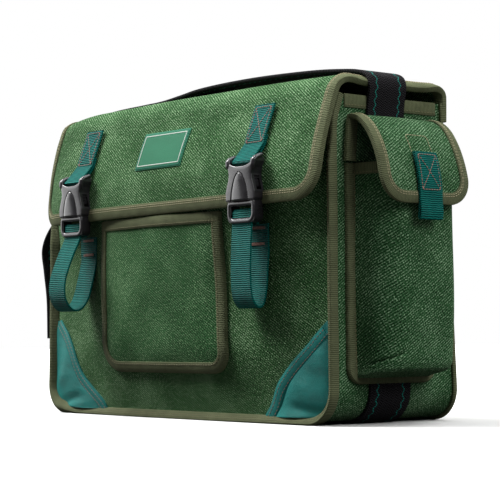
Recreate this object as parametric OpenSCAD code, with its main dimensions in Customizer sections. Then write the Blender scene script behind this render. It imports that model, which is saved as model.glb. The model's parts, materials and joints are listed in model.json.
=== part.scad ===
// Canvas tool bag with a long front flap, a side pocket and a wrap-round carrying strap.
// Millimetres. +X towards the side pocket, -Y to the front, +Z up.
// The origin is under the bag, on the face that it stands on.

/* [Bag body] */
// Width over the bound side seams
body_w = 400; // [360:1:440]
// Depth over the panels at the base
body_d = 135; // [125:1:160]
// Height of the closed flap's top face
body_h = 278; // [268:1:300]
// How far the mouth lies below the flap's top face
mouth_drop = 17; // [17:1:26]
// Radius of the panels' lower corners
corner_r = 28; // [20:1:36]
// Thickness of the lined canvas panels
panel_t = 3; // [2:0.1:4]
// How far the front panel swells out at its middle
front_bow = 12; // [6:0.5:12]
// Height above which the front panel is fully swollen
swell_z = 110; // [60:1:130]
// How far the back panel leans in at the mouth
rear_lean = 14; // [8:0.5:16]
// Thickness of the board in the base
board_t = 3; // [1.5:0.5:4]

/* [Seam tape] */
// Visible width of the folded tape
tape_w = 11; // [8:0.5:13]
// Thickness of the tape
tape_t = 1.2; // [0.8:0.1:1.6]
// Depth of the bound seam, front to back
fin_depth = 8; // [5:0.5:10]

/* [Corner patches] */
// Height of a patch above the base
patch_h = 85; // [60:1:100]
// Width of a patch along the base
patch_w = 88; // [60:1:110]
// Thickness of the patch cloth
patch_t = 0.9; // [0.6:0.1:1.5]
// How far the slanted edge is hollowed
patch_hollow = 9; // [0:0.5:14]

/* [Front pocket] */
// Left edge of the pocket, left of the middle
fp_left = 94; // [80:1:105]
// Right edge at the pocket's top
fp_right = 76; // [60:1:95]
// How much wider the pocket is at its foot, on the right
fp_flare = 7; // [0:0.5:12]
// Bottom edge of the pocket
fp_z = 40; // [25:1:60]
// How far the pocket's top edge lies below the flap's lower edge
fp_top_drop = 5; // [4:1:28]
// Room between the pocket and the front panel
fp_gap = 6.5; // [6:0.1:9]
// Thickness of the pocket cloth
fp_t = 2.2; // [1.5:0.1:3]
// Radius of the pocket's lower corners
fp_r = 24; // [14:1:34]

/* [Main flap] */
// Thickness of the flap
flap_t = 3.2; // [2.4:0.1:4]
// Height of the hanging part, from the flap's lower edge to its top face
flap_hang = 100; // [88:0.5:102.5]
// How far the lower edge stands in front of the base's middle plane
flap_hem_out = 85.5; // [85.5:0.5:90]
// Radius of the soft bend over the front of the mouth
flap_front_r = 24; // [20:1:30]
// Slope of the flap just below that bend, from upright
flap_slope = 20; // [16:1:22]
// Radius of the bend over the back of the mouth
flap_rear_r = 12; // [9:0.5:14]
// How far the hinge line on the back panel lies below the flap's top face
flap_pivot_drop = 21; // [19:1:28]
// Radius of the flap's lower corners
flap_corner_r = 24; // [14:1:34]

/* [Label] */
// Width of the blank label patch
label_w = 65; // [40:1:80]
// Height of the label patch
label_h = 36; // [24:1:42]
// Distance of its middle from the bag's middle, to the left
label_left = 8; // [-20:1:20]
// How far its middle lies below the flap's top face
label_drop = 46; // [42:1:53]
// Thickness of the label patch
label_t = 1.4; // [0.8:0.1:2]

/* [Closure straps] */
// Width of the closure webbing
web_w = 25; // [20:0.5:26]
// Thickness of the closure webbing
web_t = 1.8; // [1.2:0.1:2]
// Distance of each closure from the bag's middle
closure_x = 121; // [112:1:130]
// How far the end sewn to the flap lies below the flap's top face
upper_top_drop = 22; // [21:1:28]
// How far the webbing leaves the flap below the flap's top face
upper_free_drop = 51; // [46:1:54]
// How far the anchor's top lies below the flap's lower edge
anchor_drop = 17; // [14:1:23]
// Height of the sewn anchor
anchor_h = 19; // [14:1:24]
// How deep the loop of slack webbing hangs below its anchor
loop_drop = 48; // [30:1:70]
// How far the left loop swings out
loop_out_left = 28; // [10:1:34]
// How far the right loop swings out
loop_out_right = 12; // [10:1:34]

/* [Buckles] */
// Width of the socket across its mouth
buckle_w = 36; // [35:0.5:40]
// Thickness of the socket
buckle_t = 10.5; // [9.5:0.5:12]
// How far the socket's mouth lies above the flap's lower edge
buckle_rise = 1; // [0.5:0.5:5]
// Length of the socket from mouth to ears
socket_h = 35; // [33:0.5:38]
// Length of the plug's frame below the mouth
plug_h = 17; // [15:0.5:20]
// Wall of the socket
socket_wall = 1.8; // [1.4:0.1:2.2]
// Radius of the bars that hold webbing
bar_r = 1.7; // [1.4:0.1:2]
// Length of a prong
prong_l = 19; // [16:0.5:21]
// Width of a prong's arm
prong_w = 3.4; // [2.6:0.1:4]
// Thickness of a prong
prong_t = 4.6; // [3.6:0.1:5.4]

/* [Side pocket] */
// How much narrower the pocket box is than the body's depth
sp_inset = 55; // [45:1:69]
// Depth of the pocket box
sp_depth = 36; // [28:0.2:36]
// Underside of the pocket box
sp_z = 41; // [34:1:60]
// How far the pocket's mouth lies below the fold of its flap
sp_top_drop = 38; // [36:1:54]
// Distance of the pocket's middle from the bag's middle plane, to the front
sp_front = 6; // [0:0.5:8]
// Width of the sewn flange round the box
sp_flange = 8; // [6:0.5:10]
// Thickness of the pocket cloth
sp_t = 2.4; // [1.6:0.1:3]
// Radius of the pocket's upright outer edges
sp_r = 18; // [8:1:24]

/* [Side pocket flap] */
// How far the flap reaches past the pocket box on each side
pf_side = 8; // [3:1:11]
// How far the flap's fold lies below the bag's mouth
pf_top_drop = 17; // [15:1:21]
// Height of the flap, from its lower edge to its fold
pf_h = 70; // [62:1:76]
// How far the flap reaches out from its fold
pf_reach = 39.5; // [39:0.5:44]
// Thickness of the flap
pf_t = 2.4; // [1.8:0.1:2.8]
// Radius of its lower corners
pf_r = 22; // [12:1:30]
// Side of the square fastener pads
pad_w = 20; // [14:1:20]
// Thickness of a fastener pad
pad_t = 1.4; // [0.8:0.1:1.4]
// How far the pads' middle lies above the flap's lower edge
pad_rise = 13; // [10:1:13]
// How far the pull tab's sewn end reaches above the flap's lower edge
tab_rise = 39; // [34:1:42]
// How far the pull tab hangs below the flap's lower edge
tab_hang = 13; // [8:1:20]

/* [Carrying strap] */
// Width of the carrying strap
strap_w = 45; // [38:1:50]
// Thickness of the carrying strap
strap_t = 2.6; // [2:0.1:3]
// Distance of its middle from the bag's middle plane, to the front
strap_front = 8; // [2:0.5:12]
// How far the strap's top stands above the flap's top face
strap_rise = 13; // [10:0.5:22]
// How far the slider on the left side lies below the bag's mouth
slider_drop = 35; // [29:1:47]
// How far the strap's free end stands out
tail_out = 57; // [30:1:70]
// How far the free end hangs below the slider
tail_drop = 157; // [120:1:180]

/* [Hidden] */

// Running gap between pieces that move past each other
clear = 0.3;
// Overrun of a cut past the face that it leaves
over = 1;
// Sides of round edges and number of steps along soft curves
$fn = 64;
bow_steps = 12;
arc_steps = 9;

half_w = body_w / 2;
half_d = body_d / 2;
// Heights above the ground
mouth_z = body_h - mouth_drop;
flap_hem_z = body_h - flap_hang;
flap_pivot_z = body_h - flap_pivot_drop;
label_z = body_h - label_drop;
upper_top_z = body_h - upper_top_drop;
upper_free_z = body_h - upper_free_drop;
fp_top = flap_hem_z - fp_top_drop;
anchor_top_z = flap_hem_z - anchor_drop;
buckle_mouth_z = flap_hem_z + buckle_rise;
pf_top_z = mouth_z - pf_top_drop;
pf_hem_z = pf_top_z - pf_h;
sp_top = pf_top_z - sp_top_drop;
pad_z = pf_hem_z + pad_rise;
tab_top_z = pf_hem_z + tab_rise;
tab_end_z = pf_hem_z - tab_hang;
strap_top_z = body_h + strap_rise;
slider_z = mouth_z - slider_drop;
// Widths of the side pocket and its flap
sp_w = body_d - sp_inset;
pf_w = sp_w + 2 * pf_side;
// The bound seam stands out by the strap's thickness, so that strap and seams stand on one plane
fin_w = strap_t;
span = body_w + body_h;

canvas = "#3F6B40";
canvas_dark = "#2C5232";
tape = "#767453";
teal = "#1F8A7C";
patch_cloth = "#2F8A80";
black_web = "#151317";
black_plastic = "#2C2A2E";
label_green = "#4E8F6C";

function reversed(list) = [for (i = [len(list) - 1 : -1 : 0]) list[i]];
function unit(v) = v / norm(v);
function left_of(v) = [-v[1], v[0]];
function arc(c, r, a0, a1, steps = arc_steps) =
  [for (i = [0 : steps]) let(a = a0 + (a1 - a0) * i / steps) c + r * [cos(a), sin(a)]];

// Direction of an open path at one of its points
function heading(path, i) =
  unit(path[min(i + 1, len(path) - 1)] - path[max(i - 1, 0)]);
// The path moved sideways by a distance, to the left of its direction
function beside(path, d) =
  [for (i = [0 : len(path) - 1]) path[i] + d * left_of(heading(path, i))];
// Smooth curve through points
function spline(p, steps) = concat([for (i = [0 : len(p) - 2]) for (k = [0 : steps - 1])
  let(t = k / steps, a = p[max(i - 1, 0)], b = p[i], c = p[i + 1], d = p[min(i + 2, len(p) - 1)])
  (2 * b + (c - a) * t + (2 * a - 5 * b + 4 * c - d) * t * t + (3 * b - a - 3 * c + d) * t * t * t) / 2
], [p[len(p) - 1]]);

// Outline of a ribbon of even thickness along a path
module ribbon(path, t)
  polygon(concat(beside(path, t / 2), reversed(beside(path, -t / 2))));

// Outlines drawn in the front view (x, z), carried front to back
module facing() rotate([90, 0, 0]) linear_extrude(height = span, center = true) children();
// Outlines drawn in the side view (y, z), carried from x0 to x1
module sideways(x0, x1) translate([x0, 0, 0]) rotate([90, 0, 90]) linear_extrude(height = x1 - x0) children();
// Outlines drawn in the front view (x, z), carried from y0 back to y1
module lengthways(y0, y1)
  translate([0, y1, 0]) rotate([90, 0, 0]) linear_extrude(height = y1 - y0) children();
module mirrored_if(on) {
  if (on) mirror([1, 0, 0]) children();
  else children();
}

// Front view of a sheet with two rounded lower corners
module sheet_face(w, z0, z1, r) {
  translate([-w / 2, z0 + r]) square([w, z1 - z0 - r]);
  translate([r - w / 2, z0]) square([w - 2 * r, r]);
  for (side = [-1, 1]) translate([side * (w / 2 - r), z0 + r]) circle(r);
}
module body_face(inset, top = mouth_z) sheet_face(body_w - 2 * inset, inset, top, corner_r - inset);
module body_ring(inset, depth) {
  difference() {
    body_face(inset);
    body_face(inset + depth, mouth_z + over);
  }
}

// The front panel swells along an even curve
function bow(x) = front_bow * (1 - pow(x / half_w, 2));
// It starts with a share of that swelling at the base
foot_share = 0.3;
foot_steps = 6;
function foot_y(z) = -half_d - front_bow * (foot_share + (1 - foot_share) * sin(90 * z / swell_z));

// Flap profile in the side view, inset from its outer face
rear_y = half_d - rear_lean * flap_pivot_z / mouth_z;
flap_pivot_y = rear_y + tape_t + clear + flap_t / 2;
flap_back_y = flap_pivot_y + flap_t / 2;
shoulder_z = body_h - flap_front_r * (1 - sin(flap_slope));
flap_drop = shoulder_z - flap_hem_z;
flap_flare = flap_drop * tan(flap_slope) * 2 / PI;
shoulder_y = flap_flare - flap_hem_out;
front_arc_y = shoulder_y + flap_front_r * cos(flap_slope);
function hang(t) = [shoulder_y - flap_flare * sin(90 * t), shoulder_z - flap_drop * t];
function hang_out(t) = unit([-flap_drop, flap_flare * PI / 2 * cos(90 * t)]);
function flap_front(inset) = concat(
  arc([front_arc_y, body_h - flap_front_r], flap_front_r - inset, 90, 180 - flap_slope),
  [for (i = [1 : arc_steps]) hang(i / arc_steps) - inset * hang_out(i / arc_steps)]);
function flap_line(inset) = concat(
  [[flap_back_y - inset, flap_pivot_z]],
  arc([flap_back_y - flap_rear_r, body_h - flap_rear_r], flap_rear_r - inset, 0, 90),
  flap_front(inset));

// Everything behind the front panel's face moved back by a: swollen in plan, and kept under the
// flap and drawn in at the base in the side view
under_gap = tape_t + 3 * clear;
module behind_front(a) intersection() {
  linear_extrude(height = body_h) polygon(concat(
    [for (i = [0 : bow_steps]) let(x = body_w * i / bow_steps - half_w) [x, a - half_d - bow(x)]],
    [[half_w, body_d], [-half_w, body_d]]));
  sideways(-half_w - over, half_w + over) polygon(concat(
    flap_front(flap_t + under_gap + a),
    [for (i = [0 : foot_steps]) let(z = swell_z * (1 - i / foot_steps)) [foot_y(z) + a, z]],
    [[foot_y(0) + a, -over], [body_d + over, -over], [body_d + over, body_h - flap_t]]));
}
// Sheet that follows the front, from a to b behind the front face
module front_sheet(a, b) difference() {
  behind_front(a);
  behind_front(b);
}
// Everything in front of the leaning back face moved forward by a
module before_back(a) sideways(-half_w, half_w)
  polygon([[half_d - a, 0], [half_d - rear_lean - a, mouth_z], [-body_d, mouth_z], [-body_d, 0]]);
module rear_sheet(a, b) sideways(-half_w, half_w)
  polygon([[half_d - a, 0], [half_d - rear_lean - a, mouth_z],
    [half_d - rear_lean - b, mouth_z], [half_d - b, 0]]);

module front_panel() color(canvas) intersection() {
  front_sheet(0, panel_t);
  facing() body_face(fin_w, mouth_z - tape_t);
}

module back_panel() color(canvas) intersection() {
  rear_sheet(0, panel_t);
  facing() body_face(fin_w);
}

// Side and bottom walls, between the two panels
module wall_strip() intersection() {
  facing() body_ring(fin_w, panel_t);
  behind_front(panel_t);
  before_back(panel_t);
}
module gusset(left) color(canvas) mirrored_if(left) intersection() {
  wall_strip();
  translate([half_w - corner_r, -body_d, 0]) cube([corner_r, 2 * body_d, mouth_z - tape_t]);
}
module gusset_left() gusset(true);
module gusset_right() gusset(false);
module bottom_panel() color(canvas) intersection() {
  wall_strip();
  translate([corner_r - half_w, -body_d, 0]) cube([body_w - 2 * corner_r, 2 * body_d, corner_r]);
}

board_side = corner_r + fin_w;
module bottom_board() color("#55504A") intersection() {
  translate([board_side - half_w, -body_d, fin_w + panel_t])
    cube([body_w - 2 * board_side, 2 * body_d, board_t]);
  behind_front(panel_t + fin_w);
  before_back(panel_t + fin_w);
}

// Folded tape: a flat layer on the panel and the bound seam that stands out round its edge
module front_binding() color(tape) {
  intersection() {
    front_sheet(-tape_t, 0);
    facing() body_ring(0, tape_w);
  }
  intersection() {
    front_sheet(0, fin_depth);
    facing() body_ring(0, fin_w);
  }
}
module rear_binding() color(tape) {
  intersection() {
    rear_sheet(-tape_t, 0);
    facing() body_ring(0, tape_w);
  }
  intersection() {
    rear_sheet(0, fin_depth);
    facing() body_ring(0, fin_w);
  }
}

// Tape folded over the top edge of the front panel
hem_half = half_w - tape_w;
module front_hem() color(tape) difference() {
  intersection() {
    front_sheet(-tape_t, panel_t + tape_t);
    translate([-hem_half, -body_d, mouth_z - tape_w]) cube([2 * hem_half, 2 * body_d, tape_w]);
  }
  intersection() {
    front_sheet(0, panel_t);
    translate([-half_w, -body_d, 0]) cube([body_w, 2 * body_d, mouth_z - tape_t]);
  }
}

wall_x = half_w - fin_w;
strap_y0 = -strap_front - strap_w / 2;
strap_y1 = -strap_front + strap_w / 2;
// Room for the sewn strap under what crosses it, from a depth inside the wall's face
module strap_channel(z0, z1, depth) translate([wall_x - depth, strap_y0 - clear, z0])
  cube([strap_t + clear + depth, strap_w + 2 * clear, z1 - z0]);
module gusset_hem(left) color(tape) mirrored_if(left) difference() {
  intersection() {
    translate([wall_x - panel_t - tape_t, -body_d, mouth_z - tape_w])
      cube([panel_t + 2 * tape_t, 2 * body_d, tape_w]);
    behind_front(fin_depth + clear);
    before_back(fin_depth + clear);
  }
  translate([wall_x - panel_t, -body_d, mouth_z - tape_w - over])
    cube([panel_t, 2 * body_d, tape_w + over - tape_t]);
  strap_channel(mouth_z - tape_w - over, mouth_z + over, 0);
}
module gusset_hem_left() gusset_hem(true);
module gusset_hem_right() gusset_hem(false);

// Cloth over a lower front corner, with a hollowed slanted edge
module corner_patch(left) color(patch_cloth) mirrored_if(left) intersection() {
  front_sheet(-patch_t, 0);
  facing() difference() {
    body_face(tape_w);
    polygon(concat(
      [for (i = [0 : arc_steps]) let(t = i / arc_steps)
        [half_w - tape_w - (patch_w - tape_w) * (1 - t) + patch_hollow * sin(180 * t),
         tape_w + (patch_h - tape_w) * t - patch_hollow * sin(180 * t)]],
      [[half_w, patch_h], [half_w, body_h], [-half_w, body_h], [-half_w, 0], [half_w - patch_w, 0]]));
  }
}
module corner_patch_left() corner_patch(true);
module corner_patch_right() corner_patch(false);

// Front pocket: a sheet that stands off the panel on low walls, open at the top
module fp_face(inset, top) {
  r = fp_r - inset;
  foot = fp_z + inset;
  polygon(concat(
    [[inset - fp_left, top]],
    arc([inset - fp_left + r, foot + r], r, 180, 270),
    arc([fp_right + fp_flare - inset - r, foot + r], r, 270, 360),
    [[fp_right - inset, top]]));
}
module front_pocket() color(canvas_dark) {
  intersection() {
    front_sheet(-fp_gap - fp_t, -fp_gap);
    facing() fp_face(0, fp_top);
  }
  intersection() {
    front_sheet(-fp_gap - fp_t / 2, 0);
    facing() difference() {
      fp_face(0, fp_top);
      fp_face(fp_t, fp_top + over);
    }
  }
}
module fp_tape_sheet() front_sheet(-fp_gap - fp_t - tape_t, -fp_gap - fp_t);
fp_tape_w = tape_w - fp_t;
module front_pocket_binding() color(tape) intersection() {
  fp_tape_sheet();
  facing() difference() {
    fp_face(0, fp_top);
    fp_face(fp_tape_w, fp_top + over);
  }
}
module front_pocket_hem() color(tape) intersection() {
  fp_tape_sheet();
  facing() intersection() {
    fp_face(fp_tape_w, fp_top);
    translate([-half_w, fp_top - fp_tape_w]) square([body_w, fp_tape_w]);
  }
}

// Side pocket: a box with rounded upright edges, sewn on by a flange; the gusset is its back
sp_y = -sp_front;
sp_face_x = wall_x + sp_depth;
module sp_plan(inset, back = 0) {
  w = sp_w - 2 * inset;
  r = sp_r - inset;
  d = sp_depth - inset;
  translate([wall_x - back, sp_y - w / 2]) square([d - r + back, w]);
  translate([wall_x, sp_y + r - w / 2]) square([d, w - 2 * r]);
  for (side = [-1, 1]) translate([wall_x + d - r, sp_y + side * (w / 2 - r)]) circle(r);
}
module sp_side_face(grow, z0, z1) translate([sp_y - sp_w / 2 - grow, z0]) square([sp_w + 2 * grow, z1 - z0]);
sp_flange_x = wall_x + strap_t + clear;
module side_pocket() color(canvas) difference() {
  union() {
    translate([0, 0, sp_z]) linear_extrude(height = sp_top - sp_z) sp_plan(0);
    sideways(wall_x, sp_flange_x) sp_side_face(sp_flange, sp_z - sp_flange, sp_top);
  }
  translate([0, 0, sp_z + sp_t]) linear_extrude(height = sp_top) sp_plan(sp_t, over);
  strap_channel(0, sp_top + over, over);
}
module side_pocket_binding() color(tape) sideways(sp_flange_x, sp_flange_x + tape_t) difference() {
  sp_side_face(sp_flange, sp_z - sp_flange, sp_top);
  sp_side_face(0, sp_z, sp_top + over);
}
module hook_pad() color("#26382A") translate([sp_face_x, sp_y - pad_w / 2, pad_z - pad_w / 2])
  cube([pad_t, pad_w, pad_w]);

// Sewn strip that carries the pocket's flap, over the carrying strap
pf_pivot_x = sp_flange_x + pf_t / 2;
pf_pivot_z = pf_top_z - pf_t / 2;
pf_seam_z = sp_top + 6 * over;
module pocket_flap_seam() color(canvas) difference() {
  translate([wall_x, sp_y - pf_w / 2, pf_seam_z])
    cube([pf_pivot_x + pf_t / 2 - wall_x, pf_w, pf_pivot_z - pf_t / 2 - clear - pf_seam_z]);
  strap_channel(pf_seam_z - over, pf_top_z + over, over);
}

// Anchor of each lower webbing, sewn to the front panel
module closure_at(left) translate([left ? -closure_x : closure_x, 0, 0]) children();
front_at_closure = -half_d - bow(closure_x);
bow_rise = bow(closure_x - web_w / 2) - bow(closure_x);
module anchor(left) color(teal) intersection() {
  front_sheet(-web_t, 0);
  closure_at(left) translate([-web_w / 2, -body_d, anchor_top_z - anchor_h]) cube([web_w, body_d, anchor_h]);
}
module anchor_left() anchor(true);
module anchor_right() anchor(false);

// Place and outward direction of the flap's hanging part at a height
function hang_share(z) = (shoulder_z - z) / flap_drop;
function hang_y(z, off) = hang(hang_share(z))[0] + off * hang_out(hang_share(z))[0];
module flap_sheet(a, b) sideways(-half_w, half_w) polygon(concat(flap_line(a), reversed(flap_line(b))));
module flap_face(inset)
  sheet_face(body_w - 2 * inset, flap_hem_z + inset, body_h + over, flap_corner_r - inset);

module main_flap() color(canvas) {
  intersection() {
    flap_sheet(0, flap_t);
    facing() flap_face(0);
  }
  bar_along_x(flap_pivot_y, flap_pivot_z, flap_t / 2, body_w);
}
module flap_binding() color(tape) intersection() {
  flap_sheet(-tape_t, 0);
  facing() difference() {
    flap_face(0);
    translate([0, over]) flap_face(tape_w - over);
  }
}
module label_patch() color(label_green) intersection() {
  flap_sheet(-label_t, 0);
  facing() translate([-label_left - label_w / 2, label_z - label_h / 2]) square([label_w, label_h]);
}

// Side-release buckle: its middle plane lies just in front of the flap's lower edge
buckle_y = -flap_hem_out - tape_t - clear - buckle_t / 2;
bar_z = buckle_mouth_z + socket_h - 2 * bar_r - clear;
eye_r = bar_r + clear + web_t;
module bar_along_x(y, z, r, w) translate([-w / 2, y, z]) rotate([0, 90, 0]) cylinder(r = r, h = w);
module along_x(w) translate([-w / 2, 0, 0]) rotate([90, 0, 90]) linear_extrude(height = w) children();

module flap_strap(left) color(teal) closure_at(left) {
  eye = [buckle_y, bar_z];
  leave = [hang_y(upper_free_z, web_t), upper_free_z];
  reach = unit(eye - leave);
  intersection() {
    flap_sheet(-2 * web_t, 0);
    translate([-web_w / 2, -body_d, upper_free_z]) cube([web_w, body_d, upper_top_z - upper_free_z]);
  }
  difference() {
    along_x(web_w) {
      ribbon([leave, eye + (web_t / 2 - eye_r) * reach], 2 * web_t);
      translate(eye) circle(eye_r);
    }
    bar_along_x(buckle_y, bar_z, bar_r + clear, web_w + 2 * over);
  }
}
module flap_strap_left() flap_strap(true);
module flap_strap_right() flap_strap(false);

// Front view of the socket, as shares of its width and length, right half from the mouth up
socket_shares = [[0.47, 0], [0.5, 0.06], [0.5, 0.2], [0.46, 0.34], [0.405, 0.5], [0.39, 0.62],
  [0.42, 0.76], [0.5, 0.9], [0.5, 0.97], [0.46, 1], [0.42, 0.97]];
// Half width of the socket's inner space
socket_in = buckle_w / 2 - 2 * socket_wall;
web_slot_z = bar_z - eye_r - clear;
module socket_outline() {
  right = [for (s = socket_shares) [s[0] * buckle_w, buckle_mouth_z + s[1] * socket_h]];
  polygon(concat(right, reversed([for (p = right) [-p[0], p[1]]])));
}
module socket(left) color(black_plastic) closure_at(left) {
  y0 = buckle_y - buckle_t / 2;
  difference() {
    lengthways(y0, y0 + buckle_t) socket_outline();
    translate([-socket_in, buckle_y - prong_t / 2 - clear, buckle_mouth_z - over])
      cube([2 * socket_in, prong_t + 2 * clear, prong_l + 2 * over]);
    translate([-buckle_w, buckle_y - prong_t / 2 - clear, buckle_mouth_z + prong_l * 0.45])
      cube([2 * buckle_w, prong_t + 2 * clear, prong_l * 0.5]);
    translate([-web_w / 2 - 2 * clear, y0 - over, web_slot_z])
      cube([web_w + 4 * clear, buckle_t + 2 * over, socket_h]);
  }
  bar_along_x(buckle_y, bar_z, bar_r, web_w + 3 * clear + over);
  socket_relief(y0);
}
// Raised bullet shape on the socket's face
relief_shares = [[0.19, 0.04], [0.17, 0.3], [0.13, 0.48], [0.07, 0.6], [0, 0.64]];
relief_t = socket_wall / 2;
module socket_relief(y0) lengthways(y0 - relief_t, y0) {
  right = [for (s = relief_shares) [s[0] * buckle_w, buckle_mouth_z + s[1] * socket_h]];
  polygon(concat(right, reversed([for (p = right) [-p[0], p[1]]])));
}
module socket_left() socket(true);
module socket_right() socket(false);

// Plug frame below the mouth, with two webbing windows and a bar between them
plug_top = buckle_mouth_z - clear;
plug_foot = plug_top - plug_h;
plug_w = buckle_w * 0.94;
plug_r = plug_h * 0.3;
plug_bar_z = plug_foot + plug_h * 0.47;
module plug(left) color(black_plastic) closure_at(left) {
  t = buckle_t * 0.86;
  difference() {
    lengthways(buckle_y - t / 2, buckle_y + t / 2) sheet_face(plug_w, plug_foot, plug_top, plug_r);
    translate([-web_w / 2 - clear, buckle_y - t, plug_foot + 2 * bar_r])
      cube([web_w + 2 * clear, 2 * t, plug_h - 4 * bar_r]);
  }
  bar_along_x(buckle_y, plug_bar_z, bar_r, web_w + 2 * clear + over);
}
module plug_left() plug(true);
module plug_right() plug(false);

// Springy arm on a round foot, with a hook behind the socket's side window, right-hand one
hook_share = 0.8;
prong_shares = [[0, 0], [0, 0.5], [hook_share, 0.55], [hook_share, 0.8], [0, 1], [-1, 1], [-1, 0]];
prong_x = socket_in - clear - hook_share * prong_w;
prong_foot_z = plug_top + clear + prong_w / 2;
module prong(left, outer) color(black_plastic) closure_at(left) mirrored_if(left == outer) {
  lengthways(buckle_y - prong_t / 2, buckle_y + prong_t / 2)
    polygon([for (s = prong_shares)
      [prong_x + s[0] * prong_w, prong_foot_z + s[1] * (prong_l - prong_w / 2)]]);
  translate([prong_x - prong_w / 2, buckle_y - prong_t / 2, prong_foot_z]) rotate([-90, 0, 0])
    cylinder(r = prong_w / 2, h = prong_t);
}
module prong_left_outer() prong(true, true);
module prong_left_inner() prong(true, false);
module prong_right_outer() prong(false, true);
module prong_right_inner() prong(false, false);

// Slack webbing from the plug down and back up to its anchor
module closure_loop(left) color(teal) closure_at(left) {
  out = left ? loop_out_left : loop_out_right;
  front = [buckle_y, plug_foot - clear];
  back = [front_at_closure - bow_rise - clear - web_t / 2, anchor_top_z - anchor_h - clear];
  steps = 2 * arc_steps;
  path = [for (i = [0 : steps]) let(a = 180 * i / steps, s = i / steps)
    [front[0] + (back[0] - front[0]) * (1 - cos(a)) / 2 - out * sin(a) * (1 - s / 2),
     front[1] + (back[1] - front[1]) * s - loop_drop * pow(sin(a), 0.7)]];
  along_x(web_w) ribbon(path, web_t);
}
module loop_left() closure_loop(true);
module loop_right() closure_loop(false);

// Side pocket's flap: a quarter of an ellipse in the front view
function pf_point(a, off) =
  [pf_pivot_x + (pf_reach + off) * sin(a), pf_hem_z + (pf_top_z - pf_hem_z + off) * cos(a)];
function pf_line(off) = [for (i = [0 : 2 * arc_steps]) pf_point(90 * i / (2 * arc_steps), off)];
pf_y0 = sp_y - pf_w / 2;
module pf_sheet(a, b) lengthways(pf_y0, pf_y0 + pf_w) polygon(concat(pf_line(a), reversed(pf_line(b))));
module pf_face(inset) translate([sp_y, 0])
  sheet_face(pf_w - 2 * inset, pf_hem_z + inset, pf_top_z + pf_reach, pf_r - inset);
module pf_outline(inset) sideways(wall_x, half_w + body_d) pf_face(inset);
module pocket_flap() color(canvas) {
  intersection() {
    pf_sheet(0, -pf_t);
    pf_outline(0);
  }
  translate([pf_pivot_x, pf_y0, pf_pivot_z]) rotate([-90, 0, 0]) cylinder(r = pf_t / 2, h = pf_w);
}
module pocket_flap_binding() color(tape) difference() {
  intersection() {
    pf_sheet(tape_t, 0);
    pf_outline(0);
  }
  pf_outline(tape_w - over);
}
module loop_pad() color("#26382A") intersection() {
  pf_sheet(-pf_t, -pf_t - pad_t);
  translate([wall_x, sp_y - pad_w / 2, pad_z - pad_w / 2]) cube([body_d, pad_w, pad_w]);
}
// Doubled webbing tab, sewn to the flap above and free below its lower edge
module pull_tab() color(teal) {
  intersection() {
    pf_sheet(tape_t + 2 * web_t, tape_t);
    translate([wall_x, sp_y - web_w / 2, pf_hem_z]) cube([body_d, web_w, tab_top_z - pf_hem_z]);
  }
  translate([pf_pivot_x + pf_reach + tape_t, sp_y - web_w / 2, tab_end_z])
    cube([2 * web_t, web_w, pf_hem_z - tab_end_z]);
}

// Carrying strap: sewn under the base and up both sides
module strap_ring() difference() {
  body_face(0, mouth_z + over);
  body_face(strap_t, mouth_z + 2 * over);
}
module strap_base() color(black_web) lengthways(strap_y0, strap_y1) intersection() {
  strap_ring();
  translate([corner_r - half_w, 0]) square([body_w - 2 * corner_r, strap_t]);
}
module strap_side(left) color(black_web) mirrored_if(left) lengthways(strap_y0, strap_y1) intersection() {
  strap_ring();
  translate([half_w - corner_r, 0]) square([corner_r, mouth_z + over]);
}
module strap_side_left() strap_side(true);
module strap_side_right() strap_side(false);

// Free part of the strap, over the flap from side to side
arch_low = mouth_z + over + clear;
arch_x = half_w + clear + strap_t;
arch_h = strap_top_z - strap_t / 2 - arch_low;
arch_power = 0.2;
function arch_point(a) = [arch_x * sign(cos(a)) * pow(abs(cos(a)), arch_power),
  arch_low + arch_h * pow(sin(a), arch_power)];
module carry_strap() color(black_web) {
  top = [for (i = [1 : 35]) arch_point(180 * i / 36)];
  foot = [half_w - strap_t / 2, arch_low];
  path = concat([foot], [for (p = top) if (p[1] > arch_low + arch_h * 0.45) p], [[-foot[0], foot[1]]]);
  lengthways(strap_y0, strap_y1) ribbon(path, strap_t);
}

// Slider on the left side and the strap's free end that hangs from its raised bar
tail_eye_r = bar_r + clear + strap_t;
slider_x = -half_w - 2 * clear - tail_eye_r;
slider_h = 26;
slider_rim = 4;
slider_t = 3.6;
cheek_h = slider_h / 3;
module strap_slider() color(black_plastic) {
  w = strap_w + 2 * clear;
  difference() {
    translate([-half_w - slider_t, -strap_front - w / 2 - slider_rim, slider_z - slider_h / 2])
      cube([slider_t, w + 2 * slider_rim, slider_h]);
    translate([-half_w - slider_t - over, -strap_front - w / 2, slider_z + slider_rim - slider_h / 2])
      cube([slider_t + 2 * over, w, slider_h - 2 * slider_rim]);
  }
  for (side = [-1, 1])
    translate([slider_x - 2 * bar_r, side * (w + slider_rim) / 2 - strap_front - slider_rim / 2,
      slider_z - cheek_h / 2])
      cube([-half_w - slider_x + 2 * bar_r, slider_rim, cheek_h]);
  translate([slider_x, -strap_front - w / 2 - over, slider_z]) rotate([-90, 0, 0])
    cylinder(r = bar_r, h = w + 2 * over);
}
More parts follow.
